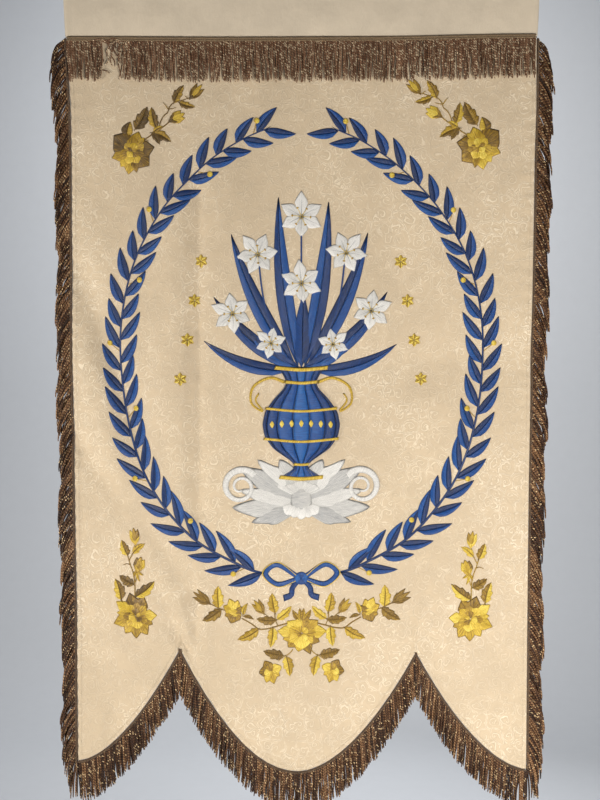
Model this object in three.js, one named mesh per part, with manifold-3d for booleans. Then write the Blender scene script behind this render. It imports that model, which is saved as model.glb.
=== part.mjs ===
// A processional church banner, hanging as it does from a crossbar: a cream damask
// panel with three rounded points at its foot, a sleeve along its top for the bar,
// a fringe sewn across the front under the sleeve, and a fringe down both sides and
// round the points. Millimetres, +Z up, the front faces -Y, and the origin is in the
// middle of the sleeve's top edge.
import * as THREE from "three";
import { mergeVertices } from "three/addons/utils/BufferGeometryUtils.js";
import Module from "manifold-3d";

const wasm = await Module();
wasm.setup();

// Driving dimensions.
const CLOTH_WIDTH = 850;
const CLOTH_THICKNESS = 2;
const HALF_WIDTH = CLOTH_WIDTH / 2;

// The hem turns at its points and at the notches between them. Each turn has its place
// across the banner and its drop below the seam under the sleeve, and then, for the
// stretch up to the next turn, how round the hem is and how many columns the panel has.
const HEM_TURNS = [
  { x: -HALF_WIDTH, drop: 1337, power: 1.65, columns: 12 },
  { x: -226, drop: 1122, power: 1.93, columns: 13 },
  { x: -3, drop: 1354, power: 1.81, columns: 13 },
  { x: 214, drop: 1130, power: 1.72, columns: 12 },
  { x: HALF_WIDTH, drop: 1349, power: 1, columns: 0 },
];
const PANEL_ROWS = 20;

const SLEEVE_HEIGHT = 95;
const SLEEVE_LENGTH = 856;
const BAR_SPACE_RADIUS = 17; // room for a crossbar of 30 mm
const SLEEVE_WALL = 1.6;
const SLEEVE_FOOT = 8; // where the two walls are sewn together
const SLEEVE_CURVE_STEPS = 8;
const SLEEVE_LENGTH_STEPS = 10;

const FRINGE_LENGTH = 72;
const BRAID_WIDTH = 10; // the woven heading of the top fringe
const BRAID_THICKNESS = 3.8;
const CORD_WIDTH = 5; // the narrow heading that edges the sides and points
const CORD_THICKNESS = 5;
const TOP_LOCKS = 60;
const SIDE_LOCKS = 72;
const CENTRE_LOCKS = 30;
const OUTER_LOCKS = 14;
const LOCK_ROWS = 2;
const SIDE_REACH = 25; // how far the side locks stand out of their heading
const SIDE_FALL = 63; // and how far they hang down
const SIDE_FRINGE_START = 11; // below the seam
const SIDE_LOCK_WIDTH = 4.5;
const HEM_REACH = 2000; // beyond the banner's foot

const GAP = 0.3; // between pieces that touch
const BRAID_GAP = 0.5; // between the panel's facets and the top fringe's heading
const HEM_GAP = 0.6; // between the hem's facets and those of its fringe's heading
const LOCK_GAP = 0.8; // between the top fringe's locks and the cloth behind them
const SEAM_Z = -SLEEVE_HEIGHT;

// The soft creases of the hung cloth: where each starts and ends, its half width, and
// how far it goes back, or forward where depth is negative.
const CREASES = [
  { topX: -190, topZ: -380, lowX: -193, lowZ: -940, halfWidth: 17, depth: 9 },
  { topX: -240, topZ: -420, lowX: -236, lowZ: -880, halfWidth: 38, depth: -7 },
  { topX: -402, topZ: -540, lowX: -300, lowZ: -815, halfWidth: 26, depth: 9 },
  { topX: -395, topZ: -700, lowX: -350, lowZ: -880, halfWidth: 30, depth: -7 },
  { topX: -422, topZ: -825, lowX: -348, lowZ: -930, halfWidth: 20, depth: 7 },
  { topX: -272, topZ: -1005, lowX: -205, lowZ: -1115, halfWidth: 17, depth: 6 },
  { topX: -405, topZ: -1180, lowX: -360, lowZ: -1330, halfWidth: 32, depth: 6 },
  { topX: 153, topZ: -300, lowX: 180, lowZ: -600, halfWidth: 40, depth: 5 },
  { topX: 240, topZ: -690, lowX: 390, lowZ: -675, halfWidth: 55, depth: 7 },
  { topX: 330, topZ: -980, lowX: 300, lowZ: -1240, halfWidth: 60, depth: -6 },
];

// The long waves in which the whole panel hangs.
const WAVES = [
  { length: 640, shift: 90, lean: 0.1, depth: 6 },
  { length: 270, shift: -40, lean: -0.22, depth: 2.4 },
];
const WAVES_FULL_BELOW = 320; // the seam holds the cloth flat down to about here

const COLOURS = {
  damask: { color: 0xe6d8bb, roughness: 0.62, metalness: 0 },
  fringe: { color: 0x6e4a2a, roughness: 0.45, metalness: 0.35 },
};

function material(name) {
  return new THREE.MeshStandardMaterial(COLOURS[name]);
}

function smooth(t) {
  const s = THREE.MathUtils.clamp(t, 0, 1);
  return s * s * (3 - 2 * s);
}

// How far back one crease takes the cloth at a place.
function creaseDepth(crease, x, z) {
  const alongX = crease.lowX - crease.topX;
  const alongZ = crease.lowZ - crease.topZ;
  const length = Math.hypot(alongX, alongZ);
  const fromX = x - crease.topX;
  const fromZ = z - crease.topZ;
  const along = (fromX * alongX + fromZ * alongZ) / length;
  const across = (fromX * alongZ - fromZ * alongX) / length;
  const past = Math.max(-along, along - length, 0);
  const fade = Math.exp(-((past / (2.2 * crease.halfWidth)) ** 2));
  return crease.depth * fade * Math.exp(-((across / crease.halfWidth) ** 2));
}

// The middle of the cloth's thickness, measured back from the seam's plane.
function clothDepth(x, z) {
  const below = smooth((SEAM_Z - z) / WAVES_FULL_BELOW);
  let depth = 0;
  for (const wave of WAVES)
    depth += wave.depth * Math.sin((2 * Math.PI * (x + wave.shift + wave.lean * z)) / wave.length);
  for (const crease of CREASES) depth += creaseDepth(crease, x, z);
  return depth * below;
}

// The cloth's lower edge: it rises from each point to the notch beside it.
function hemZ(x) {
  const last = HEM_TURNS.length - 2;
  let i = 0;
  while (i < last && x > HEM_TURNS[i + 1].x) i++;
  const [notch, point] = [HEM_TURNS[i], HEM_TURNS[i + 1]].sort((a, b) => a.drop - b.drop);
  const share = THREE.MathUtils.clamp((x - point.x) / (notch.x - point.x), 0, 1);
  const rise = (point.drop - notch.drop) * share ** HEM_TURNS[i].power;
  return SEAM_Z - point.drop + rise;
}

// Moves each vertex of a unit box, -0.5 to 0.5 each way, to the place that the
// function gives for it.
function bend(box, place) {
  const position = box.getAttribute("position");
  const at = new THREE.Vector3();
  for (let i = 0; i < position.count; i++) {
    at.fromBufferAttribute(position, i);
    const to = place(at.x, at.y, at.z);
    position.setXYZ(i, to.x, to.y, to.z);
  }
  return box;
}

function solid(geometry) {
  const bare = geometry.clone();
  bare.deleteAttribute("normal");
  bare.deleteAttribute("uv");
  const merged = mergeVertices(bare, 1e-3);
  return new wasm.Manifold(
    new wasm.Mesh({
      numProp: 3,
      vertProperties: merged.attributes.position.array,
      triVerts: new Uint32Array(merged.index.array),
    }),
  );
}

function geometryOf(made) {
  const mesh = made.getMesh();
  const geometry = new THREE.BufferGeometry();
  geometry.setAttribute("position", new THREE.BufferAttribute(mesh.vertProperties, 3));
  geometry.setIndex(new THREE.BufferAttribute(mesh.triVerts, 1));
  geometry.computeVertexNormals();
  return geometry;
}

function named(name, geometry, materialName) {
  const mesh = new THREE.Mesh(geometry, material(materialName));
  mesh.name = name;
  return mesh;
}

// A steady choice of uneven sizes, between -1 and 1, for lock number i.
function uneven(i, kind) {
  return Math.sin(i * 12.9898 + kind * 78.233) * 0.6 + Math.sin(i * 4.137 + kind * 1.7) * 0.4;
}

// The panel is a sheet with a grid of columns and rows. Its columns run down to the
// hem, and one falls on each turn of the hem, so that the notches stay sharp.
function makePanel() {
  const columnX = [];
  HEM_TURNS.slice(0, -1).forEach((turn, i) => {
    for (let c = 0; c < turn.columns; c++)
      columnX.push(THREE.MathUtils.lerp(turn.x, HEM_TURNS[i + 1].x, c / turn.columns));
  });
  columnX.push(HALF_WIDTH);
  const columns = columnX.length - 1;
  const box = new THREE.BoxGeometry(1, 1, 1, columns, 1, PANEL_ROWS);
  bend(box, (u, v, w) => {
    const x = columnX[Math.round((u + 0.5) * columns)];
    const z = THREE.MathUtils.lerp(hemZ(x), SEAM_Z - GAP, w + 0.5);
    return new THREE.Vector3(x, clothDepth(x, z) + v * CLOTH_THICKNESS, z);
  });
  return named("panel", box, "damask");
}

// The sleeve's section in the plane across it: an arch over the bar, and two flat
// walls that meet at the seam.
function sleeveOutline(radius, foot, footHalf) {
  const centre = -(BAR_SPACE_RADIUS + SLEEVE_WALL);
  const lean = Math.atan2(radius - footHalf, centre - foot);
  const outline = new THREE.Path();
  outline.absarc(0, centre, radius, -lean, Math.PI + lean, false);
  outline.lineTo(-footHalf, foot);
  outline.lineTo(footHalf, foot);
  outline.closePath();
  return outline;
}

function makeSleeve() {
  const outer = sleeveOutline(BAR_SPACE_RADIUS + SLEEVE_WALL, SEAM_Z, SLEEVE_WALL + 0.2);
  const inner = sleeveOutline(BAR_SPACE_RADIUS, SEAM_Z + SLEEVE_FOOT, 0.3);
  const section = new THREE.Shape(outer.getPoints(SLEEVE_CURVE_STEPS));
  section.holes.push(new THREE.Path(inner.getPoints(SLEEVE_CURVE_STEPS)));
  const geometry = new THREE.ExtrudeGeometry(section, {
    depth: SLEEVE_LENGTH,
    steps: SLEEVE_LENGTH_STEPS,
    bevelEnabled: false,
  });
  geometry.translate(0, 0, -SLEEVE_LENGTH / 2);
  const position = geometry.getAttribute("position");
  for (let i = 0; i < position.count; i++) {
    const depth = position.getX(i);
    const z = position.getY(i);
    const x = position.getZ(i);
    // The slack walls below the bar bulge a little, more in some places than others.
    const slack = Math.sin(Math.PI * THREE.MathUtils.clamp((z - SEAM_Z) / 60, 0, 1));
    const bulge = slack * (1.2 + 0.9 * Math.sin(x / 61) + 0.6 * Math.sin(x / 23));
    position.setXYZ(i, x, depth + Math.sign(depth) * bulge, z);
  }
  return named("sleeve", geometry, "damask");
}

// A fringe is one solid: its locks' roots are fused into the heading that carries them.
function makeFringe(name, heading, locks) {
  const parts = [solid(heading), ...locks.map(solid)];
  return named(name, geometryOf(wasm.Manifold.union(parts)), "fringe");
}

// Where cords have come away from the top fringe's heading: the middle of the place,
// half its width, and the share of a lock's length that is left there.
const WORN = [
  { x: -341, halfWidth: 21, left: 0.42 },
  { x: 215, halfWidth: 9, left: 0.8 },
];

function shareLeft(x) {
  const place = WORN.find((each) => Math.abs(x - each.x) < each.halfWidth);
  return place ? place.left : 1;
}

function makeTopFringe() {
  const top = SEAM_Z - GAP;
  const front = (x, z) => clothDepth(x, z) - CLOTH_THICKNESS / 2;
  const heading = bend(new THREE.BoxGeometry(1, 1, 1, 16, 1, 1), (u, v, w) => {
    const x = u * CLOTH_WIDTH;
    const z = top - BRAID_WIDTH * (0.5 - w);
    return new THREE.Vector3(x, front(x, z) - BRAID_GAP - BRAID_THICKNESS * (0.5 - v), z);
  });
  const pitch = CLOTH_WIDTH / TOP_LOCKS;
  const rootZ = top - BRAID_WIDTH + 2.4;
  const locks = [];
  for (let i = 0; i < TOP_LOCKS; i++) {
    const middle = -HALF_WIDTH + pitch * (i + 0.5);
    const length = (FRINGE_LENGTH + 4 * uneven(i, 1)) * shareLeft(middle);
    const sway = 0.9 * uneven(i, 2);
    const lift = 1.3 + 1.1 * uneven(i, 3);
    const width = pitch - 2.1 + 0.4 * uneven(i, 4);
    const plump = 1.7 + 0.35 * uneven(i, 5);
    const setOff = LOCK_GAP + 0.4 * Math.abs(uneven(i, 6));
    const lock = bend(new THREE.BoxGeometry(1, 1, 1, 1, 1, LOCK_ROWS), (u, v, w) => {
      const down = 0.5 - w;
      const x = middle + u * width * (1 - 0.16 * down) + sway * down * down;
      const z = rootZ - length * down;
      const thick = plump + 2.4 * Math.sin(0.85 * Math.PI * down);
      const away = setOff + lift * Math.sin((Math.PI / 2) * down);
      return new THREE.Vector3(x, front(x, z) - away - thick * (0.5 - v), z);
    });
    locks.push(lock);
  }
  return makeFringe("fringe_top", heading, locks);
}

// The side fringes: the locks leave their heading outwards and hang down over the
// ones below. Near the foot of the side they fan in, towards the fringe of the point.
function makeSideFringe(name, side) {
  const topZ = SEAM_Z - SIDE_FRINGE_START;
  const lowZ = hemZ(side * HALF_WIDTH);
  const inner = HALF_WIDTH + GAP;
  const heading = bend(new THREE.BoxGeometry(1, 1, 1, 1, 1, 20), (u, v, w) => {
    const z = THREE.MathUtils.lerp(lowZ, topZ, w + 0.5);
    const x = side * (inner + CORD_WIDTH / 2) + u * CORD_WIDTH;
    return new THREE.Vector3(x, clothDepth(side * HALF_WIDTH, z) + v * CORD_THICKNESS, z);
  });
  const pitch = (topZ - lowZ - 8) / (SIDE_LOCKS - 1);
  const rootX = inner + CORD_WIDTH / 2;
  const locks = [];
  for (let i = 0; i < SIDE_LOCKS; i++) {
    const rootZ = topZ - 3 - pitch * i;
    const fan = 0.3 + 0.7 * smooth((rootZ - lowZ) / 80);
    const reach = (SIDE_REACH + 1.6 * uneven(i, side + 5)) * fan;
    const fall = SIDE_FALL + 2.5 * uneven(i, side + 8);
    const lean = 1.6 * uneven(i, side + 11);
    const along = new THREE.Vector2(reach, -fall).normalize();
    const depth = clothDepth(side * HALF_WIDTH, rootZ);
    const lock = bend(new THREE.BoxGeometry(1, 1, 1, 1, 1, LOCK_ROWS), (u, v, w) => {
      const down = 0.5 - w;
      const across = side * u * SIDE_LOCK_WIDTH * (1 - 0.3 * down);
      const x = side * (rootX + reach * (1 - (1 - down) ** 1.15) - across * along.y);
      const z = rootZ - fall * down + across * along.x;
      const thick = 2.8 + 3.8 * Math.sin(0.7 * Math.PI * down);
      return new THREE.Vector3(x, depth + lean * down * down + v * thick, z);
    });
    locks.push(lock);
  }
  return makeFringe(name, heading, locks);
}

// A fringe along the hem from one turn to another, whose locks hang straight down.
// Where two points meet, their headings end at the upright plane through the notch.
function makeHemFringe(name, from, to, count, kind) {
  const [fromX, toX] = [HEM_TURNS[from].x, HEM_TURNS[to].x];
  const slopeAt = (x) => {
    const before = Math.max(x - 0.5, fromX);
    const after = Math.min(x + 0.5, toX);
    return (hemZ(after) - hemZ(before)) / (after - before);
  };
  const heading = bend(new THREE.BoxGeometry(1, 1, 1, count, 1, 1), (u, v, w) => {
    const x = THREE.MathUtils.lerp(fromX, toX, u + 0.5);
    const slope = slopeAt(x);
    const out = (HEM_GAP + CORD_WIDTH * (0.5 - w)) / Math.hypot(1, slope);
    const y = clothDepth(x, hemZ(x)) + v * CORD_THICKNESS;
    return new THREE.Vector3(x + slope * out, y, hemZ(x) - out);
  });
  const pitch = (toX - fromX) / count;
  const locks = [];
  for (let i = 0; i < count; i++) {
    const middle = fromX + pitch * (i + 0.5);
    const length = FRINGE_LENGTH + 4 * uneven(i, kind);
    const sway = 0.9 * uneven(i, kind + 1);
    const lean = 2.2 * uneven(i, kind + 2);
    const width = pitch - 2.4;
    const depth = clothDepth(middle, hemZ(middle));
    const tip = hemZ(middle) - length;
    const lock = bend(new THREE.BoxGeometry(1, 1, 1, 1, 1, LOCK_ROWS), (u, v, w) => {
      const down = 0.5 - w;
      const rootX = middle + u * width;
      const rootZ = hemZ(rootX) - HEM_GAP - (CORD_WIDTH / 2) * Math.hypot(1, slopeAt(rootX));
      const x = middle + u * width * (1 - 0.18 * down) + sway * down * down;
      const thick = 2.8 + 2.6 * Math.sin(0.85 * Math.PI * down);
      const z = THREE.MathUtils.lerp(rootZ, tip, down);
      return new THREE.Vector3(x, depth + lean * down * down + v * thick, z);
    });
    locks.push(lock);
  }
  const fringe = wasm.Manifold.union([solid(heading), ...locks.map(solid)]);
  const room = new THREE.BoxGeometry(toX - fromX - 2 * GAP, CLOTH_WIDTH, 2 * HEM_REACH);
  room.translate((fromX + toX) / 2, 0, 0);
  return named(name, geometryOf(fringe.intersect(solid(room))), "fringe");
}

const banner = new THREE.Group();
banner.add(
  makePanel(),
  makeSleeve(),
  makeTopFringe(),
  makeSideFringe("fringe_left", -1),
  makeSideFringe("fringe_right", 1),
  makeHemFringe("fringe_point_left", 0, 1, OUTER_LOCKS, 20),
  makeHemFringe("fringe_point_centre", 1, 3, CENTRE_LOCKS, 30),
  makeHemFringe("fringe_point_right", 3, 4, OUTER_LOCKS, 40),
);

export default banner;
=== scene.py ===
"""A processional church banner, dressed: damask, gold and blue embroidery, twisted cord fringe.

Sizes are in millimetres, as in a maker's pattern, and become metres when a mesh is made.
"""

import logging
import math
from dataclasses import asdict, dataclass, field
from enum import Enum

import bpy
import numpy as np
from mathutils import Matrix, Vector


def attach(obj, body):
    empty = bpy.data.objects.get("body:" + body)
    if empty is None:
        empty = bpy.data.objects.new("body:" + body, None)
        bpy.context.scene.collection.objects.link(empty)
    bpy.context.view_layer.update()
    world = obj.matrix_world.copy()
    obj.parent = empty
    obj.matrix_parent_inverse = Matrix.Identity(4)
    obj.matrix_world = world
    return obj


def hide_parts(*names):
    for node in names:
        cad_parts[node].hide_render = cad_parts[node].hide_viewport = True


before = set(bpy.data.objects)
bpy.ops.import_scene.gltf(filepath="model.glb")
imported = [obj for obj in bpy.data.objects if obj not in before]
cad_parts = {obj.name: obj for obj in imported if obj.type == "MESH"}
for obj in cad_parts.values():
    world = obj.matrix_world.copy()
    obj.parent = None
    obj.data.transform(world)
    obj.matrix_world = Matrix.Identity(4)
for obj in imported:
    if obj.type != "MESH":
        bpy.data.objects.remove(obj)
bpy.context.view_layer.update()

LOG = logging.getLogger("banner")
MM = 0.001
TURN = 2.0 * math.pi
FRONT = np.array([0.0, -1.0, 0.0])

Array = np.ndarray
Pair = tuple[float, float]
Colour = tuple[float, float, float]


class Slot(Enum):
    """The finishes that the record names."""

    DAMASK = "damask"
    FRINGE = "fringe"
    GOLD = "gold_thread"
    BLUE = "blue_thread"
    WHITE = "white_thread"


class Side(Enum):
    """The left and right side of the banner, as seen from its front."""

    LEFT = -1
    RIGHT = 1


def smooth(value: Array | float) -> Array:
    """Ease a share of 0 to 1, clamped at both ends."""
    held = np.clip(value, 0.0, 1.0)
    return held * held * (3.0 - 2.0 * held)


def run_of(line: Array) -> Array:
    """Give how far along a line each of its points lies."""
    return np.concatenate([[0.0], np.cumsum(np.linalg.norm(np.diff(line, axis=0), axis=1))])


def spaced(line: Array, count: int) -> Array:
    """Give evenly spaced points along a flat line."""
    run = run_of(line)
    at = np.linspace(0.0, run[-1], count)
    return np.stack([np.interp(at, run, line[:, 0]), np.interp(at, run, line[:, 1])], axis=1)


def curve_through(knots: list[Pair] | tuple[Pair, ...], count: int) -> Array:
    """Lay a smooth curve through a few points.

    Args:
        knots: The points, two or more.
        count: How many points the curve gets, evenly spaced.

    Returns:
        An array of count points.
    """
    rows = np.asarray(knots, float)
    ends = np.vstack([2 * rows[0] - rows[1], rows, 2 * rows[-1] - rows[-2]])
    t = np.linspace(0.0, 1.0, 24, endpoint=False)[:, None]
    dense = []
    for i in range(len(rows) - 1):
        a, b, c, d = ends[i : i + 4]
        bend = 2 * b + (c - a) * t + (2 * a - 5 * b + 4 * c - d) * t**2 + (3 * b - a - 3 * c + d) * t**3
        dense.append(0.5 * bend)
    return spaced(np.vstack([*dense, rows[-1:]]), count)


def across_line(line: Array) -> Array:
    """Give the unit normals of a flat line, to the left of its direction."""
    way = np.gradient(line, axis=0)
    way /= np.maximum(np.linalg.norm(way, axis=1, keepdims=True), 1e-9)
    return np.stack([-way[:, 1], way[:, 0]], axis=1)


def facing(points: Array) -> dict[str, Array]:
    """Say that what follows a line of points faces the front."""
    return {"outward": np.broadcast_to(FRONT, points.shape)}


# Nodes of materials and geometry


@dataclass(frozen=True)
class Link:
    """A node's output. Sums and products with it add the nodes that work them out."""

    graph: "Graph"
    socket: bpy.types.NodeSocket

    def __add__(self, other: object) -> "Link":
        """Add a number."""
        return self.graph.math("ADD", self, other)

    def __sub__(self, other: object) -> "Link":
        """Subtract a number."""
        return self.graph.math("SUBTRACT", self, other)

    def __rsub__(self, other: object) -> "Link":
        """Subtract this from a number."""
        return self.graph.math("SUBTRACT", other, self)

    def __mul__(self, other: object) -> "Link":
        """Multiply by a number."""
        return self.graph.math("MULTIPLY", self, other)

    def __truediv__(self, other: object) -> "Link":
        """Divide by a number."""
        return self.graph.math("DIVIDE", self, other)

    def __pow__(self, other: object) -> "Link":
        """Raise to a power."""
        return self.graph.math("POWER", self, other)

    def __abs__(self) -> "Link":
        """Drop the sign."""
        return self.graph.math("ABSOLUTE", self)


class Graph:
    """Builds the nodes of one material or geometry tree."""

    def __init__(self, tree: bpy.types.NodeTree) -> None:
        """Start on a tree that has no nodes yet."""
        self.tree = tree
        tree.nodes.clear()

    def node(self, kind: str, feeds: dict | None = None, **settings: object) -> bpy.types.Node:
        """Add a node.

        Args:
            kind: The node's type name.
            feeds: What goes into its inputs, by name or number: a link, a node or a value.
            **settings: The node's own properties.

        Returns:
            The new node.
        """
        made = self.tree.nodes.new(kind)
        for key, value in settings.items():
            setattr(made, key, value)
        for key, value in (feeds or {}).items():
            self.feed(self.socket(made.inputs, key), value)
        return made

    @staticmethod
    def socket(sockets: bpy.types.bpy_prop_collection, key: str | int) -> bpy.types.NodeSocket:
        """Find a socket by its number, or the one in use that has a name."""
        if isinstance(key, int):
            return sockets[key]
        return next(each for each in sockets if each.name == key and each.enabled)

    def feed(self, socket: bpy.types.NodeSocket, value: object) -> None:
        """Link an output or a node's first output to an input, or set the input's value."""
        if isinstance(value, bpy.types.Node):
            value = next(each for each in value.outputs if each.enabled)
        if isinstance(value, Link):
            value = value.socket
        if isinstance(value, bpy.types.NodeSocket):
            self.tree.links.new(value, socket)
        else:
            socket.default_value = value

    def out(self, kind: str, name: str | int, feeds: dict | None = None, **settings: object) -> Link:
        """Add a node and give one of its outputs."""
        return Link(self, self.socket(self.node(kind, feeds, **settings).outputs, name))

    def math(self, operation: str, *values: object) -> Link:
        """Add a number node and give its result."""
        return self.out("ShaderNodeMath", 0, dict(enumerate(values)), operation=operation)

    def vector(self, operation: str, *values: object, scale: object = None) -> Link:
        """Add a vector node and give its result, a number for lengths."""
        made = self.node("ShaderNodeVectorMath", dict(enumerate(values)), operation=operation)
        if scale is not None:
            self.feed(made.inputs["Scale"], scale)
        return Link(self, made.outputs["Value" if operation == "LENGTH" else "Vector"])

    def join(self, x: object = 0.0, y: object = 0.0, z: object = 0.0) -> Link:
        """Join three numbers into a vector."""
        return self.out("ShaderNodeCombineXYZ", 0, {"X": x, "Y": y, "Z": z})

    def split(self, vector: object) -> tuple[Link, ...]:
        """Split a vector into its three numbers."""
        made = self.node("ShaderNodeSeparateXYZ", {0: vector})
        return tuple(Link(self, each) for each in made.outputs)

    def ease(self, value: object, low: float, high: float) -> Link:
        """Ease a number from 0 at low to 1 at high."""
        feeds = {"Value": value, "From Min": low, "From Max": high, "To Min": 0.0, "To Max": 1.0}
        return self.out("ShaderNodeMapRange", "Result", feeds, interpolation_type="SMOOTHSTEP")

    def blend(self, factor: object, first: object, second: object) -> Link:
        """Mix two colours."""
        made = self.node("ShaderNodeMix", {"Factor": factor}, data_type="RGBA", clamp_factor=True)
        for name, value in (("A", first), ("B", second)):
            self.feed(self.socket(made.inputs, name), (*value, 1.0) if isinstance(value, tuple) else value)
        return Link(self, self.socket(made.outputs, "Result"))

    def ramp(self, factor: object, stops: list[tuple[float, Colour]]) -> Link:
        """Turn a number into a colour.

        Args:
            factor: The number, 0 to 1.
            stops: Places and their colours, in order.

        Returns:
            The colour.
        """
        made = self.node("ShaderNodeValToRGB", {"Fac": factor})
        marks = made.color_ramp.elements
        while len(marks) < len(stops):
            marks.new(0.5)
        for mark, (place, colour) in zip(marks, stops):
            mark.position = place
            mark.color = (*colour, 1.0)
        return Link(self, made.outputs["Color"])

    def noise(self, place: object, scale: float, detail: float = 2.0, rough: float = 0.5) -> Link:
        """Give a cloudy number about 0.5, read at a place."""
        feeds = {"Vector": place, "Scale": scale, "Detail": detail, "Roughness": rough}
        return self.out("ShaderNodeTexNoise", 0, feeds)

    def dice(self, place: object) -> Link:
        """Give an even random number for each whole place."""
        return self.out("ShaderNodeTexWhiteNoise", "Value", {"Vector": place})

    def named(self, name: str, kind: str = "FLOAT") -> Link:
        """Read a named attribute in a geometry tree."""
        return self.out("GeometryNodeInputNamedAttribute", "Attribute", {"Name": name}, data_type=kind)

    def store(self, geometry: object, name: str, kind: str, value: object) -> Link:
        """Keep a value on each point of a geometry under a name."""
        feeds = {"Geometry": geometry, "Name": name, "Value": value}
        return self.out("GeometryNodeStoreNamedAttribute", 0, feeds, data_type=kind, domain="POINT")


class Paint(Graph):
    """Builds a material's nodes around one surface shader."""

    def __init__(self, name: str) -> None:
        """Start a material with a surface shader and an output."""
        self.material = bpy.data.materials.new(name)
        self.material.use_nodes = True
        super().__init__(self.material.node_tree)
        self.shader = self.node("ShaderNodeBsdfPrincipled")
        self.node("ShaderNodeOutputMaterial", {"Surface": self.shader})

    def set(self, **values: object) -> None:
        """Set the shader's inputs by name, with a line for each space."""
        for name, value in values.items():
            self.feed(self.shader.inputs[name.replace("_", " ")], value)

    def object_place(self) -> Link:
        """Give the place in millimetres."""
        return self.vector("SCALE", self.out("ShaderNodeTexCoord", "Object"), scale=1.0 / MM)

    def read(self, name: str, output: str = "Vector") -> Link:
        """Read one of the mesh's attributes."""
        return self.out("ShaderNodeAttribute", output, attribute_name=name)

    def bump(self, *reliefs: tuple[object, float]) -> None:
        """Raise the surface.

        Args:
            *reliefs: Heights of 0 to 1, each with its real depth in millimetres.
        """
        normal: object = None
        for height, depth in reliefs:
            feeds = {"Height": height, "Distance": depth * MM, "Strength": 1.0}
            if normal is not None:
                feeds["Normal"] = normal
            normal = self.out("ShaderNodeBump", "Normal", feeds)
        self.set(Normal=normal)


# Finishes


def darker(colour: Colour, share: float) -> Colour:
    """Give a darker colour."""
    return tuple(share * part for part in colour)


class Finish:
    """A surface that can be made into a material."""

    def build(self, name: str) -> bpy.types.Material:
        """Make the material.

        Args:
            name: The material's name.

        Returns:
            The material.
        """
        g = Paint(name)
        self.paint(g)
        return g.material

    def paint(self, g: Paint) -> None:
        """Set the surface in the material's nodes."""
        raise NotImplementedError


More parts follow.
